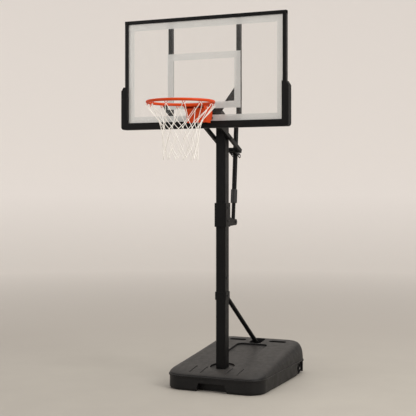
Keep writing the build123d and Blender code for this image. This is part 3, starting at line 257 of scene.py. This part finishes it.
def zinc(name, base, metal, rough):
    """Plated fastener: patchy sheen, fine tool marks and brighter edges."""
    look = Shading(name)
    round_normal, edges = look.rounded(0.0007)
    patches = look.noise(160.0, 4.0, 0.6)
    bright = tuple(min(1.0, 3.2 * c) for c in base[:3]) + (1.0,)
    varied = look.blend(look.span(patches, 0.3, 0.75, 0.0, 0.5), base, bright)
    look.set(Base_Color=look.blend(look.math("MULTIPLY", edges, 0.6), varied, bright))
    look.set(Metallic=metal, Roughness=look.span(patches, 0.25, 0.75, rough - 0.08, rough + 0.12))
    marks = look.noise(900.0, 3.0, 0.5, look.stretched((0.2, 1.0, 1.0)))
    look.set(Normal=look.bump(marks, 0.00008, 0.4, round_normal))
    return look.material


def drawn_steel(name, base, rough, along):
    """Bare drawn steel with lengthwise die lines and slight tarnish."""
    look = Shading(name)
    lines = look.noise(700.0, 4.0, 0.7, look.stretched(along))
    tarnish = look.noise(45.0, 4.0)
    dull = tuple(0.55 * c for c in base[:3]) + (1.0,)
    look.set(Base_Color=look.blend(look.span(tarnish, 0.4, 0.75, 0.0, 0.7), base, dull), Metallic=1.0)
    look.set(Roughness=look.span(lines, 0.3, 0.7, rough - 0.08, rough + 0.14))
    look.set(Normal=look.bump(lines, 0.00006, 0.5))
    return look.material


def blow_moulded(name):
    """Blow-moulded polyethylene: pebble grain, soft sheen, scuffed lower edges, and a paler tone on upward
    faces that is partly settled dust and partly painted top light.
    """
    look = Shading(name)
    round_normal, edges = look.rounded(0.0035)
    black = colour(0.0048, 0.0048, 0.0053)
    chalk = colour(0.024, 0.023, 0.022)
    grain = look.cells(430.0, "SMOOTH_F1")
    fine = look.noise(900.0, 3.0, 0.6)
    waves = look.noise(3.2, 2.0)
    scratches = look.noise(38.0, 6.0, 0.75, look.stretched((1.0, 1.0, 7.0)))
    low = look.span(look.axis(look.place, "Z"), 0.14, 0.0)
    scuffs = look.math("MULTIPLY", low, look.span(scratches, 0.56, 0.66))
    rubbed = look.math("MAXIMUM", look.math("MULTIPLY", scuffs, 0.35), look.math("MULTIPLY", edges, 0.16))
    # Dust and painted light: upward faces are blended towards a pale grey, partly as settled dust and partly
    # as painted light on the lit top.
    dust_and_light_cover = look.span(look.noise(9.0, 5.0, 0.6), 0.25, 0.75, 0.24, 0.46)
    dust_and_top_light = look.math("MULTIPLY", look.facing_up(), dust_and_light_cover)
    tinted = look.blend(look.span(waves, 0.35, 0.7, 0.0, 0.25), black, chalk)
    dusted_and_top_lit = look.blend(dust_and_top_light, tinted, colour(0.100, 0.092, 0.084))
    look.set(Base_Color=look.blend(rubbed, dusted_and_top_lit, chalk), Specular_IOR_Level=0.22)
    rough = look.span(look.noise(26.0, 4.0), 0.3, 0.7, 0.40, 0.52)
    look.set(Roughness=look.math("ADD", rough, look.math("MULTIPLY", dust_and_top_light, 0.12)))
    height = look.math("ADD", look.math("MULTIPLY", grain, 0.8), look.math("MULTIPLY", fine, 0.3))
    look.set(Normal=look.bump(height, 0.00035, 0.45, round_normal))
    return look.material


def hard_plastic(name, base, rough, grain_scale=650.0, depth=0.0002):
    """Injection-moulded plastic with a spark-eroded grain and faint flow marks."""
    look = Shading(name)
    round_normal, edges = look.rounded(0.0009)
    flow = look.noise(22.0, 4.0, 0.6)
    pale = tuple(min(1.0, 2.4 * c + 0.01) for c in base[:3]) + (1.0,)
    varied = look.blend(look.span(flow, 0.35, 0.75, 0.0, 0.3), base, pale)
    look.set(Base_Color=look.blend(look.math("MULTIPLY", edges, 0.3), varied, pale))
    look.set(Roughness=look.span(flow, 0.3, 0.7, rough - 0.05, rough + 0.08), Specular_IOR_Level=0.2)
    look.set(Normal=look.bump(look.noise(grain_scale, 3.0, 0.6), depth, 0.4, round_normal))
    return look.material


def rubber(name, base, rough):
    """Soft matt rubber with bloom in patches and a fine tooth."""
    look = Shading(name)
    bloom = look.noise(60.0, 5.0, 0.65)
    grey = tuple(2.2 * c + 0.012 for c in base[:3]) + (1.0,)
    look.set(Base_Color=look.blend(look.span(bloom, 0.42, 0.8, 0.0, 0.6), base, grey))
    look.set(Roughness=look.span(bloom, 0.3, 0.7, rough - 0.05, rough + 0.08))
    look.set(Normal=look.bump(look.noise(1400.0, 2.0), 0.00012, 0.5))
    return look.material


def foam_skin(name):
    """Self-skinned foam: pebbled leather-like skin, matt, a shade lighter where it is rubbed."""
    look = Shading(name)
    pebble = look.cells(330.0, "SMOOTH_F1")
    pores = look.noise(1300.0, 3.0, 0.6)
    patches = look.noise(14.0, 5.0, 0.65)
    black = colour(0.0042, 0.0042, 0.0046)
    rubbed = colour(0.012, 0.0115, 0.011)
    look.set(Base_Color=look.blend(look.span(patches, 0.42, 0.8, 0.0, 0.55), black, rubbed))
    look.set(Roughness=look.span(patches, 0.3, 0.7, 0.52, 0.66), Specular_IOR_Level=0.14)
    look.set(Sheen_Weight=0.03, Sheen_Roughness=0.5)
    height = look.math("ADD", look.math("MULTIPLY", pebble, 0.7), look.math("MULTIPLY", pores, 0.3))
    look.set(Normal=look.bump(height, 0.0004, 0.5))
    return look.material


def cord_nylon(name):
    """Twisted white nylon: fibres along the lay, with painted shade that greys the grooves between them."""
    look = Shading(name)
    uv = look.add("ShaderNodeUVMap", uv_map="lay").outputs["UV"]
    fibre_place = look.add("ShaderNodeMapping")
    look.feed(fibre_place.inputs["Vector"], uv)
    fibre_place.inputs["Scale"].default_value = (60.0, 300.0, 1.0)
    fibres = look.noise(1.0, 4.0, 0.7, fibre_place.outputs["Vector"])
    soil = look.noise(9.0, 4.0, 0.6)
    white = colour(0.95, 0.93, 0.88)
    grey = colour(0.74, 0.71, 0.65)
    # Painted shade: the grooves between fibres are darkened towards grey.
    shade = look.math("MULTIPLY", look.span(fibres, 0.40, 0.75), 0.35)
    soiled = look.blend(look.span(soil, 0.45, 0.8, 0.0, 0.4), white, grey)
    look.set(Base_Color=look.blend(shade, soiled, grey))
    look.set(Roughness=look.span(fibres, 0.3, 0.7, 0.70, 0.88), Sheen_Weight=0.35, Sheen_Roughness=0.4)
    look.set(Normal=look.bump(fibres, 0.00025, 0.6))
    return look.material


def clear_sheet(name):
    """Clear board: nearly invisible, with gloss, faint smears and hairline scratches."""
    look = Shading(name)
    smears = look.noise(7.0, 5.0, 0.7, look.stretched((1.0, 1.0, 0.35)))
    hairlines = look.noise(90.0, 8.0, 0.8, look.stretched((1.0, 1.0, 0.12)))
    tint = look.blend(look.span(smears, 0.3, 0.8), colour(0.70, 0.73, 0.73), colour(0.80, 0.80, 0.78))
    look.set(Base_Color=tint)
    look.set(Roughness=look.span(smears, 0.3, 0.75, 0.02, 0.16), Specular_IOR_Level=0.5)
    look.set(Normal=look.bump(hairlines, 0.00003, 0.25))
    clear = look.add("ShaderNodeBsdfTransparent")
    look.feed(clear.inputs["Color"], colour(0.985, 0.985, 0.982))
    fresnel = look.add("ShaderNodeFresnel")
    look.feed(fresnel.inputs["IOR"], 1.45)
    haze = look.span(smears, 0.45, 0.8, 0.012, 0.035)
    share = look.math("ADD", look.math("MULTIPLY", fresnel.outputs[0], 0.8), haze)
    mix = look.add("ShaderNodeMixShader")
    look.feed(mix.inputs[0], share)
    look.feed(mix.inputs[1], clear.outputs[0])
    look.feed(mix.inputs[2], look.shader.outputs[0])
    look.feed(look.output.inputs["Surface"], mix.outputs[0])
    return look.material


def frosted_print(name):
    """Screen-printed pale ink on the back of the sheet: a fine mesh pattern, not quite opaque, with a faint
    painted glow.
    """
    look = Shading(name)
    mesh_dots = look.cells(620.0)
    cover = look.noise(18.0, 4.0, 0.6)
    ink = look.blend(look.span(cover, 0.3, 0.8), colour(0.93, 0.93, 0.925), colour(0.97, 0.97, 0.96))
    look.set(Base_Color=ink)
    look.set(Roughness=look.span(cover, 0.3, 0.7, 0.5, 0.65))
    look.set(Normal=look.bump(mesh_dots, 0.00012, 0.35))
    clear = look.add("ShaderNodeBsdfTransparent")
    look.feed(clear.inputs["Color"], colour(0.97, 0.965, 0.955))
    # Painted glow: a faint emission makes the ink brighter, standing in for light passing through it.
    look.set(Emission_Color=colour(0.92, 0.90, 0.88), Emission_Strength=0.10)
    mix = look.add("ShaderNodeMixShader")
    look.feed(mix.inputs[0], look.span(mesh_dots, 0.1, 0.6, 0.76, 0.66))
    look.feed(mix.inputs[1], clear.outputs[0])
    look.feed(mix.inputs[2], look.shader.outputs[0])
    look.feed(look.output.inputs["Surface"], mix.outputs[0])
    return look.material


def ballast(name):
    """Tap water in the closed tank."""
    look = Shading(name)
    cloud = look.noise(6.0, 3.0)
    look.set(Base_Color=look.blend(cloud, colour(0.50, 0.62, 0.66), colour(0.62, 0.70, 0.70)))
    look.set(Roughness=look.span(cloud, 0.3, 0.7, 0.02, 0.08), IOR=1.33)
    look.set(Normal=look.bump(look.noise(20.0, 2.0), 0.0008, 0.3))
    return look.material


BLACK = colour(0.0036, 0.0036, 0.0039)
materials = {
    "black_steel": powder_coat("black_powder_coat", BLACK, colour(0.013, 0.013, 0.0135), 0.40, 0.12),
    "black_zinc": zinc("black_zinc_plate", colour(0.035, 0.035, 0.038), 0.75, 0.34),
    "bare_steel": drawn_steel("drawn_steel", colour(0.52, 0.52, 0.53), 0.32, (0.02, 1.0, 1.0)),
    "spring_steel": drawn_steel("spring_wire", colour(0.40, 0.40, 0.41), 0.34, (1.0, 1.0, 1.0)),
    "rim_orange": powder_coat(
        "orange_powder_coat", colour(0.60, 0.052, 0.006), colour(0.72, 0.10, 0.018), 0.38, 0.15, 0.0, 0.0012
    ),
    "tank_plastic": blow_moulded("tank_polyethylene"),
    "wheel_plastic": hard_plastic("wheel_polyethylene", colour(0.009, 0.009, 0.0095), 0.50, 420.0, 0.0003),
    "black_plastic": hard_plastic("black_nylon", colour(0.0075, 0.0075, 0.008), 0.42),
    "water": ballast("ballast_water"),
    "seal_rubber": rubber("seal_rubber", colour(0.012, 0.012, 0.012), 0.70),
    "grip_rubber": rubber("grip_rubber", colour(0.008, 0.008, 0.0085), 0.50),
    "clear_sheet": clear_sheet("clear_acrylic"),
    "frosted_print": frosted_print("frosted_ink_painted_glow"),
    "pad_foam": foam_skin("foam_skin"),
    "net_cord": cord_nylon("nylon_cord"),
}

for subpart in frame["record"]["subparts"]:
    cad_node = frame["nodes"][subpart["node"]]
    cad_node.data.materials.clear()
    cad_node.data.materials.append(materials[subpart["material_slot"]])


# ---------------------------------------------------------------------------
# Mesh helpers
# ---------------------------------------------------------------------------


def piece(name, body, slot, vertices, faces, smooth=True):
    """A new mesh object that rides on a body and takes its finish from a slot."""
    mesh = bpy.data.meshes.new(name)
    mesh.from_pydata(vertices, [], faces)
    mesh.validate()
    mesh.update()
    if smooth:
        mesh.polygons.foreach_set("use_smooth", [True] * len(mesh.polygons))
    mesh.materials.append(materials[slot])
    made = bpy.data.objects.new(name, mesh)
    bpy.context.scene.collection.objects.link(made)
    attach(made, body)
    return made


def smooth_line(points, step, closed=False):
    """Catmull-Rom curve through the points, sampled about every step."""
    count = len(points)
    spans = count if closed else count - 1
    line = []
    for i in range(spans):
        if closed:
            p0, p1, p2, p3 = (points[(i + k) % count] for k in (-1, 0, 1, 2))
        else:
            p1, p2 = points[i], points[i + 1]
            p0 = points[i - 1] if i > 0 else p1 + (p1 - p2)
            p3 = points[i + 2] if i + 2 < count else p2 + (p2 - p1)
        pieces = max(2, round((p2 - p1).length / step))
        for k in range(pieces):
            t = k / pieces
            line.append(
                0.5 * (2 * p1 + (p2 - p0) * t + (2 * p0 - 5 * p1 + 4 * p2 - p3) * t * t
                       + (3 * p1 - p0 - 3 * p2 + p3) * t * t * t)
            )
    if not closed:
        line.append(points[-1].copy())
    return line


class TubeMesh:
    """Collects tubes with a lobed section that turns along the length."""

    def __init__(self):
        self.vertices, self.faces, self.uvs = [], [], []

    def add(self, line, radius, sides, lobes=0, twist=0.0, depth=0.16, closed=False, taper=0.0, ripple=0.0):
        """Tube along line.  taper narrows it to nothing over that length at both ends."""
        count = len(line)
        first = len(self.vertices)
        tangents = []
        for i in range(count):
            if closed:
                tangents.append((line[(i + 1) % count] - line[i - 1]).normalized())
            else:
                tangents.append((line[min(i + 1, count - 1)] - line[max(i - 1, 0)]).normalized())
        side = tangents[0].orthogonal().normalized()
        lengths = [0.0]
        for a, b in zip(line, line[1:]):
            lengths.append(lengths[-1] + (b - a).length)
        for i, point in enumerate(line):
            side = (side - tangents[i] * side.dot(tangents[i])).normalized()
            up = tangents[i].cross(side)
            reach = radius * (1 + ripple * math.sin(FULL_TURN * lengths[i] / WELD_PITCH))
            if taper:
                near_end = min(lengths[i], lengths[-1] - lengths[i]) / taper
                reach *= math.sqrt(max(0.0, min(1.0, near_end))) * 0.96 + 0.04
            for k in range(sides):
                angle = FULL_TURN * k / sides
                wave = 1 + depth * math.cos(lobes * angle + twist * lengths[i]) if lobes else 1.0
                offset = side * math.cos(angle) + up * math.sin(angle)
                self.vertices.append(point + offset * reach * wave)
        rings = count if closed else count - 1
        for i in range(rings):
            near, far = first + i * sides, first + (i + 1) % count * sides
            v0 = lengths[i]
            v1 = lengths[i + 1] if i + 1 < count else v0 + 0.001
            for k in range(sides):
                n = (k + 1) % sides
                self.faces.append((near + k, near + n, far + n, far + k))
                u0, u1 = k / sides, (k + 1) / sides
                self.uvs.append(((u0, v0), (u1, v0), (u1, v1), (u0, v1)))
        if not closed:
            self.faces.append(tuple(first + k for k in reversed(range(sides))))
            self.faces.append(tuple(first + (count - 1) * sides + k for k in range(sides)))
            for end in (0.0, lengths[-1]):
                self.uvs.append(tuple((k / sides, end) for k in range(sides)))

    def finish(self, name, body, slot):
        made = piece(name, body, slot, self.vertices, self.faces)
        layer = made.data.uv_layers.new(name="lay")
        flat = [uv for face in self.uvs for corner in face for uv in corner]
        layer.data.foreach_set("uv", flat)
        return made


# ---------------------------------------------------------------------------
# Net: twisted cord from hook to hook, knotted into diamonds
# ---------------------------------------------------------------------------

ring_low, ring_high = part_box("rim_ring")
ring_centre = (ring_low + ring_high) / 2
ring_reach = (ring_high.x - ring_low.x) / 2 - RING_ROD_R


def around(angle, radius, height):
    """Point on a circle about the ring's axis."""
    x = ring_centre.x + radius * math.cos(angle)
    y = ring_centre.y + radius * math.sin(angle)
    return Vector((x, y, height))


def knot_place(row, column):
    """Middle of a knot.  Rows alternate by half a hook spacing, and each knot hangs a little unevenly."""
    height, radius = NET_ROWS[row]
    offset = 0.5 if row % 2 == 0 else 0.0
    spread = random.Random(100 * row + column % HOOKS)
    angle = FULL_TURN * (column + offset + spread.uniform(-0.05, 0.05)) / HOOKS
    droop = spread.uniform(-0.004, 0.004)
    return around(angle, radius + spread.uniform(-0.002, 0.002), height + droop)


def sagging(a, b, sag):
    """Nearly straight run of cord between two knots."""
    middle = (a + b) / 2 + Vector((0, 0, -sag))
    return smooth_line([a, middle, b], CORD_STEP)


def net():
    cords = TubeMesh()
    hook_top = ring_low.z + HOOK_BAR_UP
    for hook in range(HOOKS):
        angle = FULL_TURN * hook / HOOKS
        outward = Vector((math.cos(angle), math.sin(angle), 0))
        along = Vector((-math.sin(angle), math.cos(angle), 0))
        top = around(angle, ring_reach, hook_top)
        # the loop passes through the hook and hangs down on both sides of it
        loop = [knot_place(0, hook - 1)]
        for out, side, drop in HOOK_LOOP:
            loop.append(top + outward * out + along * side + Vector((0, 0, -drop)))
        loop.append(knot_place(0, hook))
        cords.add(smooth_line(loop, CORD_STEP), CORD_R, CORD_SIDES, CORD_LOBES, CORD_TWIST)
    for row in range(len(NET_ROWS) - 1):
        lean = -1 if row % 2 else 1
        for column in range(HOOKS):
            start = knot_place(row, column)
            for step in (0, lean):
                end = knot_place(row + 1, column + step)
                cords.add(sagging(start, end, CORD_SAG), CORD_R, CORD_SIDES, CORD_LOBES, CORD_TWIST)
    last = len(NET_ROWS) - 1
    for column in range(HOOKS):
        knot = knot_place(last, column)
        for side in (-1, 1):
            tangent = Vector((knot.y - ring_centre.y, ring_centre.x - knot.x, 0)).normalized()
            tip = knot + tangent * side * TAIL_SPREAD + Vector((0, 0, -TAIL_L))
            cords.add(smooth_line([knot, tip], TAIL_STEP), TIGHT_R, CORD_SIDES, CORD_LOBES, CORD_TWIST)
    made = cords.finish("net_cords", "rim", "net_cord")
    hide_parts("net")
    return made


def overhand(centre, turn, tilt):
    """Closed trefoil line that reads as a pulled-tight overhand knot."""
    line = []
    for i in range(30):
        t = FULL_TURN * i / 30
        x = math.sin(t) + 2 * math.sin(2 * t)
        y = math.cos(t) - 2 * math.cos(2 * t)
        z = -math.sin(3 * t)
        local = Vector((x * 0.78, z * 0.9, y)) * (KNOT_R / 2.6)
        line.append(centre + Matrix.Rotation(turn, 3, "Z") @ (Matrix.Rotation(tilt, 3, "Y") @ local))
    return line


def net_knots():
    knots = TubeMesh()
    for row in range(len(NET_ROWS)):
        for column in range(HOOKS):
            centre = knot_place(row, column)
            outward = centre - ring_centre
            turn = math.atan2(outward.y, outward.x) + math.pi / 2
            tilt = random.Random(7 * row + column).uniform(-0.4, 0.4)
            knots.add(overhand(centre, turn, tilt), TIGHT_R, KNOT_SIDES, closed=True)
    return knots.finish("net_knots", "rim", "net_cord")


net()
net_knots()


# ---------------------------------------------------------------------------
# Edge pad: one moulded foam channel round the board's lower edges
# ---------------------------------------------------------------------------

pad_low, pad_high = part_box("edge_pad")
board_low, board_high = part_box("frame_bottom")
PAD_IN_X = 0.633              # inner edge of the pad's upright arms
PAD_SHELF_Z = 2.078           # top of the pad along the bottom bar
PAD_CLEAR = 0.0006            # space kept round the frame
PAD_CORNER_R = 0.022
PAD_SLOPE_W = 0.022           # slanted outer corner at the top of each arm
PAD_SLOPE_H = 0.034
PAD_BOTTOM_STEPS = 46
PAD_ARC_STEPS = 9
PAD_ARM_STEPS = 30
PAD_SEAM_AT = 0.46            # share of the pad's depth, from the front


def pad_outline(x, low, corner_r, top):
    """One side of a U-shaped outline, from the middle of the bottom up the right arm."""
    line = [((x - corner_r) * i / PAD_BOTTOM_STEPS, low) for i in range(PAD_BOTTOM_STEPS)]
    for i in range(PAD_ARC_STEPS + 1):
        angle = -math.pi / 2 + math.pi / 2 * i / PAD_ARC_STEPS
        line.append((x - corner_r + corner_r * math.cos(angle), low + corner_r + corner_r * math.sin(angle)))
    start = low + corner_r
    for i in range(1, PAD_ARM_STEPS + 1):
        line.append((x, start + (top - start) * i / PAD_ARM_STEPS))
    return line


def edge_pad():
    """Sections run from the inner edge over the front, round the outside and back along the frame."""
    front, rear = pad_low.y, pad_high.y
    slot_front = board_low.y - PAD_CLEAR
    frame_x = board_high.x + PAD_CLEAR
    frame_low = board_low.z - PAD_CLEAR
    inner = pad_outline(PAD_IN_X, PAD_SHELF_Z, 0.004, pad_high.z)
    middle = pad_outline(frame_x, frame_low, 0.002, pad_high.z)
    outer = pad_outline(pad_high.x, pad_low.z, PAD_CORNER_R, pad_high.z)
    full = [[(-x, z) for x, z in reversed(half[1:])] + half for half in (inner, middle, outer)]
    sections = []
    r = PAD_EDGE_R
    for (ix, iz), (mx, mz), (ox, oz) in zip(*full):
        section = []
        width = math.hypot(ox - ix, oz - iz)

        def across(share, depth):
            section.append((ix + (ox - ix) * share, depth, iz + (oz - iz) * share))

        edge = r / width
        across(0.0, slot_front)
        across(0.0, front + r)
        for i in range(1, 4):
            angle = math.pi / 2 * i / 4
            across(edge * (1 - math.cos(angle)), front + r * (1 - math.sin(angle)))
        for i in range(9):
            share = edge + (1 - 2 * edge) * i / 8
            crown = PAD_CROWN * (1 - (2 * i / 8 - 1) ** 2)
            across(share, front + PAD_CROWN * 0.6 - crown * 0.6)
        for i in range(3, 0, -1):
            angle = math.pi / 2 * i / 4
            across(1 - edge * (1 - math.cos(angle)), front + r * (1 - math.sin(angle)))
        # outer face, with the moulding's parting line let into it
        seam = front + (rear - front) * PAD_SEAM_AT
        sink = SEAM_DEPTH / width
        outer_face = (
            (1.0, front + r),
            (1.0, (front + seam) / 2),
            (1.0, seam - SEAM_HALF_W),
            (1 - SEAM_LIP * sink, seam - SEAM_LIP_W),
            (1 - sink, seam),
            (1 - SEAM_LIP * sink, seam + SEAM_LIP_W),
            (1.0, seam + SEAM_HALF_W),
            (1.0, (rear + seam) / 2),
            (1.0, rear - r),
        )
        for share, depth in outer_face:
            across(share, depth)
        for i in range(1, 4):
            angle = math.pi / 2 * i / 4
            across(1 - edge * (1 - math.cos(angle)), rear - r * (1 - math.sin(angle)))
        across(1 - edge, rear)
        section.append((mx + (ox - mx) * 0.12, rear, mz + (oz - mz) * 0.12))
        section.append((mx, rear - 0.0012, mz))
        section.append((mx, (rear + slot_front) / 2, mz))
        section.append((mx, slot_front, mz))
        section.append(((mx + ix) / 2, slot_front, (mz + iz) / 2))
        sections.append([Vector(p) for p in section])
    # the arms' tops are cut square, with a slanted outer corner
    for section in sections:
        for point in section:
            past = max(0.0, abs(point.x) - (pad_high.x - PAD_SLOPE_W)) / PAD_SLOPE_W
            top = pad_high.z - PAD_SLOPE_H * past
            start = pad_high.z - 3.2 * PAD_SLOPE_H
            if point.z > start:
                point.z = start + (point.z - start) * (top - start) / (pad_high.z - start)
    # slow waves, as moulded foam is never quite flat
    for section in sections:
        for point in section:
            wave = math.sin(17 * point.x + 3 * point.z) * math.sin(23 * point.z + 5 * point.y + 1)
            if point.y < slot_front:
                point.y += 0.0004 * (wave - 1) + 0.0006
    ring = len(sections[0])
    vertices = [p for section in sections for p in section]
    faces = []
    for i in range(len(sections) - 1):
        a, b = i * ring, (i + 1) * ring
        for k in range(ring):
            n = (k + 1) % ring
            faces.append((a + k, a + n, b + n, b + k))
    faces.append(tuple(range(ring)))
    faces.append(tuple((len(sections) - 1) * ring + k for k in reversed(range(ring))))
    made = piece("edge_pad_foam", "board", "pad_foam", vertices, faces)
    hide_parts("edge_pad")
    soften = made.modifiers.new("soft_ends", "BEVEL")
    soften.width = 0.004
    soften.segments = 3
    soften.limit_method = "ANGLE"
    soften.angle_limit = math.radians(50)
    return made


edge_pad()


# ---------------------------------------------------------------------------
# Weld beads where the steel parts meet
# ---------------------------------------------------------------------------


def weld(name, body, slot, seams, radius=WELD_R):
    """Rippled beads along straight or curved seams."""
    beads = TubeMesh()
    for seam in seams:
        line = smooth_line([Vector(p) for p in seam], WELD_PITCH / 5)
        beads.add(line, radius, WELD_SIDES, taper=WELD_TAPER, ripple=WELD_RIPPLE)
    return beads.finish(name, body, slot)


def frame_seams():
    """Rear seams at the four corners of the board frame and at both ends of each rear bar."""
    seams = []
    frame_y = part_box("frame_top")[1].y
    for node in ("frame_left", "frame_right", "rear_bar_left", "rear_bar_right"):
        low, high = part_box(node)
        start, end = low.x + FRAME_WELD_INSET, high.x - FRAME_WELD_INSET
        for height in (low.z, high.z):
            seams.append([(start, frame_y, height), (end, frame_y, height)])
    return seams


def ring_seams():
    """Both sides of the ring where it lies on the housing."""
    housing_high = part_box("rim_housing")[1]
    half = math.asin(RING_WELD_SPAN * housing_high.x / ring_reach)
    seams = []
    for out in (-RING_WELD_OUT * RING_ROD_R, RING_WELD_OUT * RING_ROD_R):
        line = []
        for i in range(RING_WELD_STEPS + 1):
            angle = math.pi / 2 + half * (2 * i / RING_WELD_STEPS - 1)
            line.append(around(angle, ring_reach + out, housing_high.z + RING_WELD_UP))
        seams.append(line)
    return seams


def arm_seams():
    """Just inside the crosspiece's front and rear faces, on the inner faces of the lower arms."""
    low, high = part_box("arm_crosspiece")
    inner_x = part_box("lower_arm_right")[0].x
    middle = (low + high) / 2
    slant = ARM_NORMAL * ARM_WELD_HALF_L
    seams = []
    for side in (-1, 1):
        for y in (low.y + ARM_WELD_INSET, high.y - ARM_WELD_INSET):
            centre = Vector((side * inner_x, y, middle.z - (y - middle.y) * ARM_FALL))
            seams.append([centre - slant, centre + slant])
    return seams


weld("frame_welds", "board", "black_steel", frame_seams())
weld("ring_welds", "rim", "rim_orange", ring_seams(), RING_WELD_R)
weld("arm_welds", "lower_arms", "black_steel", arm_seams())


# ---------------------------------------------------------------------------
# Room, light and camera
# ---------------------------------------------------------------------------


def room_material(name):
    """Painted studio sweep: a greyer floor round the hoop that lightens into the wall."""
    look = Shading(name)
    cloud = look.noise(1.6, 5.0, 0.6)
    grit = look.noise(160.0, 4.0, 0.6)
    away = look.add("ShaderNodeVectorMath", operation="LENGTH")
    look.feed(away.inputs[0], look.place)
    far = look.span(away.outputs["Value"], FLOOR_NEAR, FLOOR_FAR)
    high = look.span(look.axis(look.place, "Z"), 0.0, WALL_RISE)
    glow = look.span(away.outputs["Value"], FLOOR_FAR, ROOM_RADIUS - ROOM_BEND)
    near_paint = look.blend(look.span(cloud, 0.3, 0.7), FLOOR_PAINT, FLOOR_PAINT_WORN)
    look.set(Base_Color=look.blend(high, look.blend(far, near_paint, SWEEP_PAINT), WALL_PAINT))
    look.set(Roughness=look.span(grit, 0.3, 0.7, 0.60, 0.72), Specular_IOR_Level=0.2)
    look.set(Emission_Color=WALL_PAINT, Emission_Strength=look.math("MULTIPLY", glow, WALL_GLOW))
    look.set(Normal=look.bump(grit, 0.0004, 0.25))
    return look.material


def room():
    """Pale floor that sweeps up into a round wall far behind and beside the hoop."""
    rings = [(0.0, 0.0), (2.0, 0.0), (5.0, 0.0), (ROOM_RADIUS - ROOM_BEND, 0.0)]
    for i in range(1, 13):
        angle = math.pi / 2 * i / 12
        out = ROOM_RADIUS - ROOM_BEND + ROOM_BEND * math.sin(angle)
        rings.append((out, ROOM_BEND * (1 - math.cos(angle))))
    rings.append((ROOM_RADIUS, ROOM_HEIGHT))
    sides = 96
    vertices = [Vector((0, 0, 0))]
    for radius, height in rings[1:]:
        for k in range(sides):
            angle = FULL_TURN * k / sides
            vertices.append(Vector((radius * math.cos(angle), radius * math.sin(angle), height)))
    faces = [(0, 1 + k, 1 + (k + 1) % sides) for k in range(sides)]
    for i in range(len(rings) - 2):
        a, b = 1 + i * sides, 1 + (i + 1) * sides
        for k in range(sides):
            n = (k + 1) % sides
            faces.append((a + k, b + k, b + n, a + n))
    mesh = bpy.data.meshes.new("room")
    mesh.from_pydata(vertices, [], faces)
    mesh.polygons.foreach_set("use_smooth", [True] * len(mesh.polygons))
    mesh.materials.append(room_material("pale_sweep"))
    made = bpy.data.objects.new("room", mesh)
    bpy.context.scene.collection.objects.link(made)


def softbox(name, place, target, size, power, tint):
    data = bpy.data.lights.new(name, "AREA")
    data.shape = "RECTANGLE"
    data.size, data.size_y = size
    data.energy = power
    data.color = tint
    lamp = bpy.data.objects.new(name, data)
    lamp.location = place
    lamp.rotation_euler = (Vector(target) - Vector(place)).to_track_quat("-Z", "Y").to_euler()
    bpy.context.scene.collection.objects.link(lamp)


def lights():
    for lamp in LAMPS:
        softbox(*lamp)
    world = bpy.data.worlds.new("studio")
    world.use_nodes = True
    background = world.node_tree.nodes["Background"]
    background.inputs["Color"].default_value = WORLD_TINT
    background.inputs["Strength"].default_value = WORLD_STRENGTH
    bpy.context.scene.world = world


def camera():
    data = bpy.data.cameras.new("camera")
    data.lens = CAMERA_LENS
    data.shift_y = CAMERA_SHIFT_Y
    data.clip_end = 100.0
    made = bpy.data.objects.new("camera", data)
    made.location = CAMERA_PLACE
    made.rotation_euler = (math.pi / 2, 0, CAMERA_YAW)
    bpy.context.scene.collection.objects.link(made)
    bpy.context.scene.camera = made


room()
lights()
camera()
bpy.context.scene.view_settings.view_transform = "Standard"
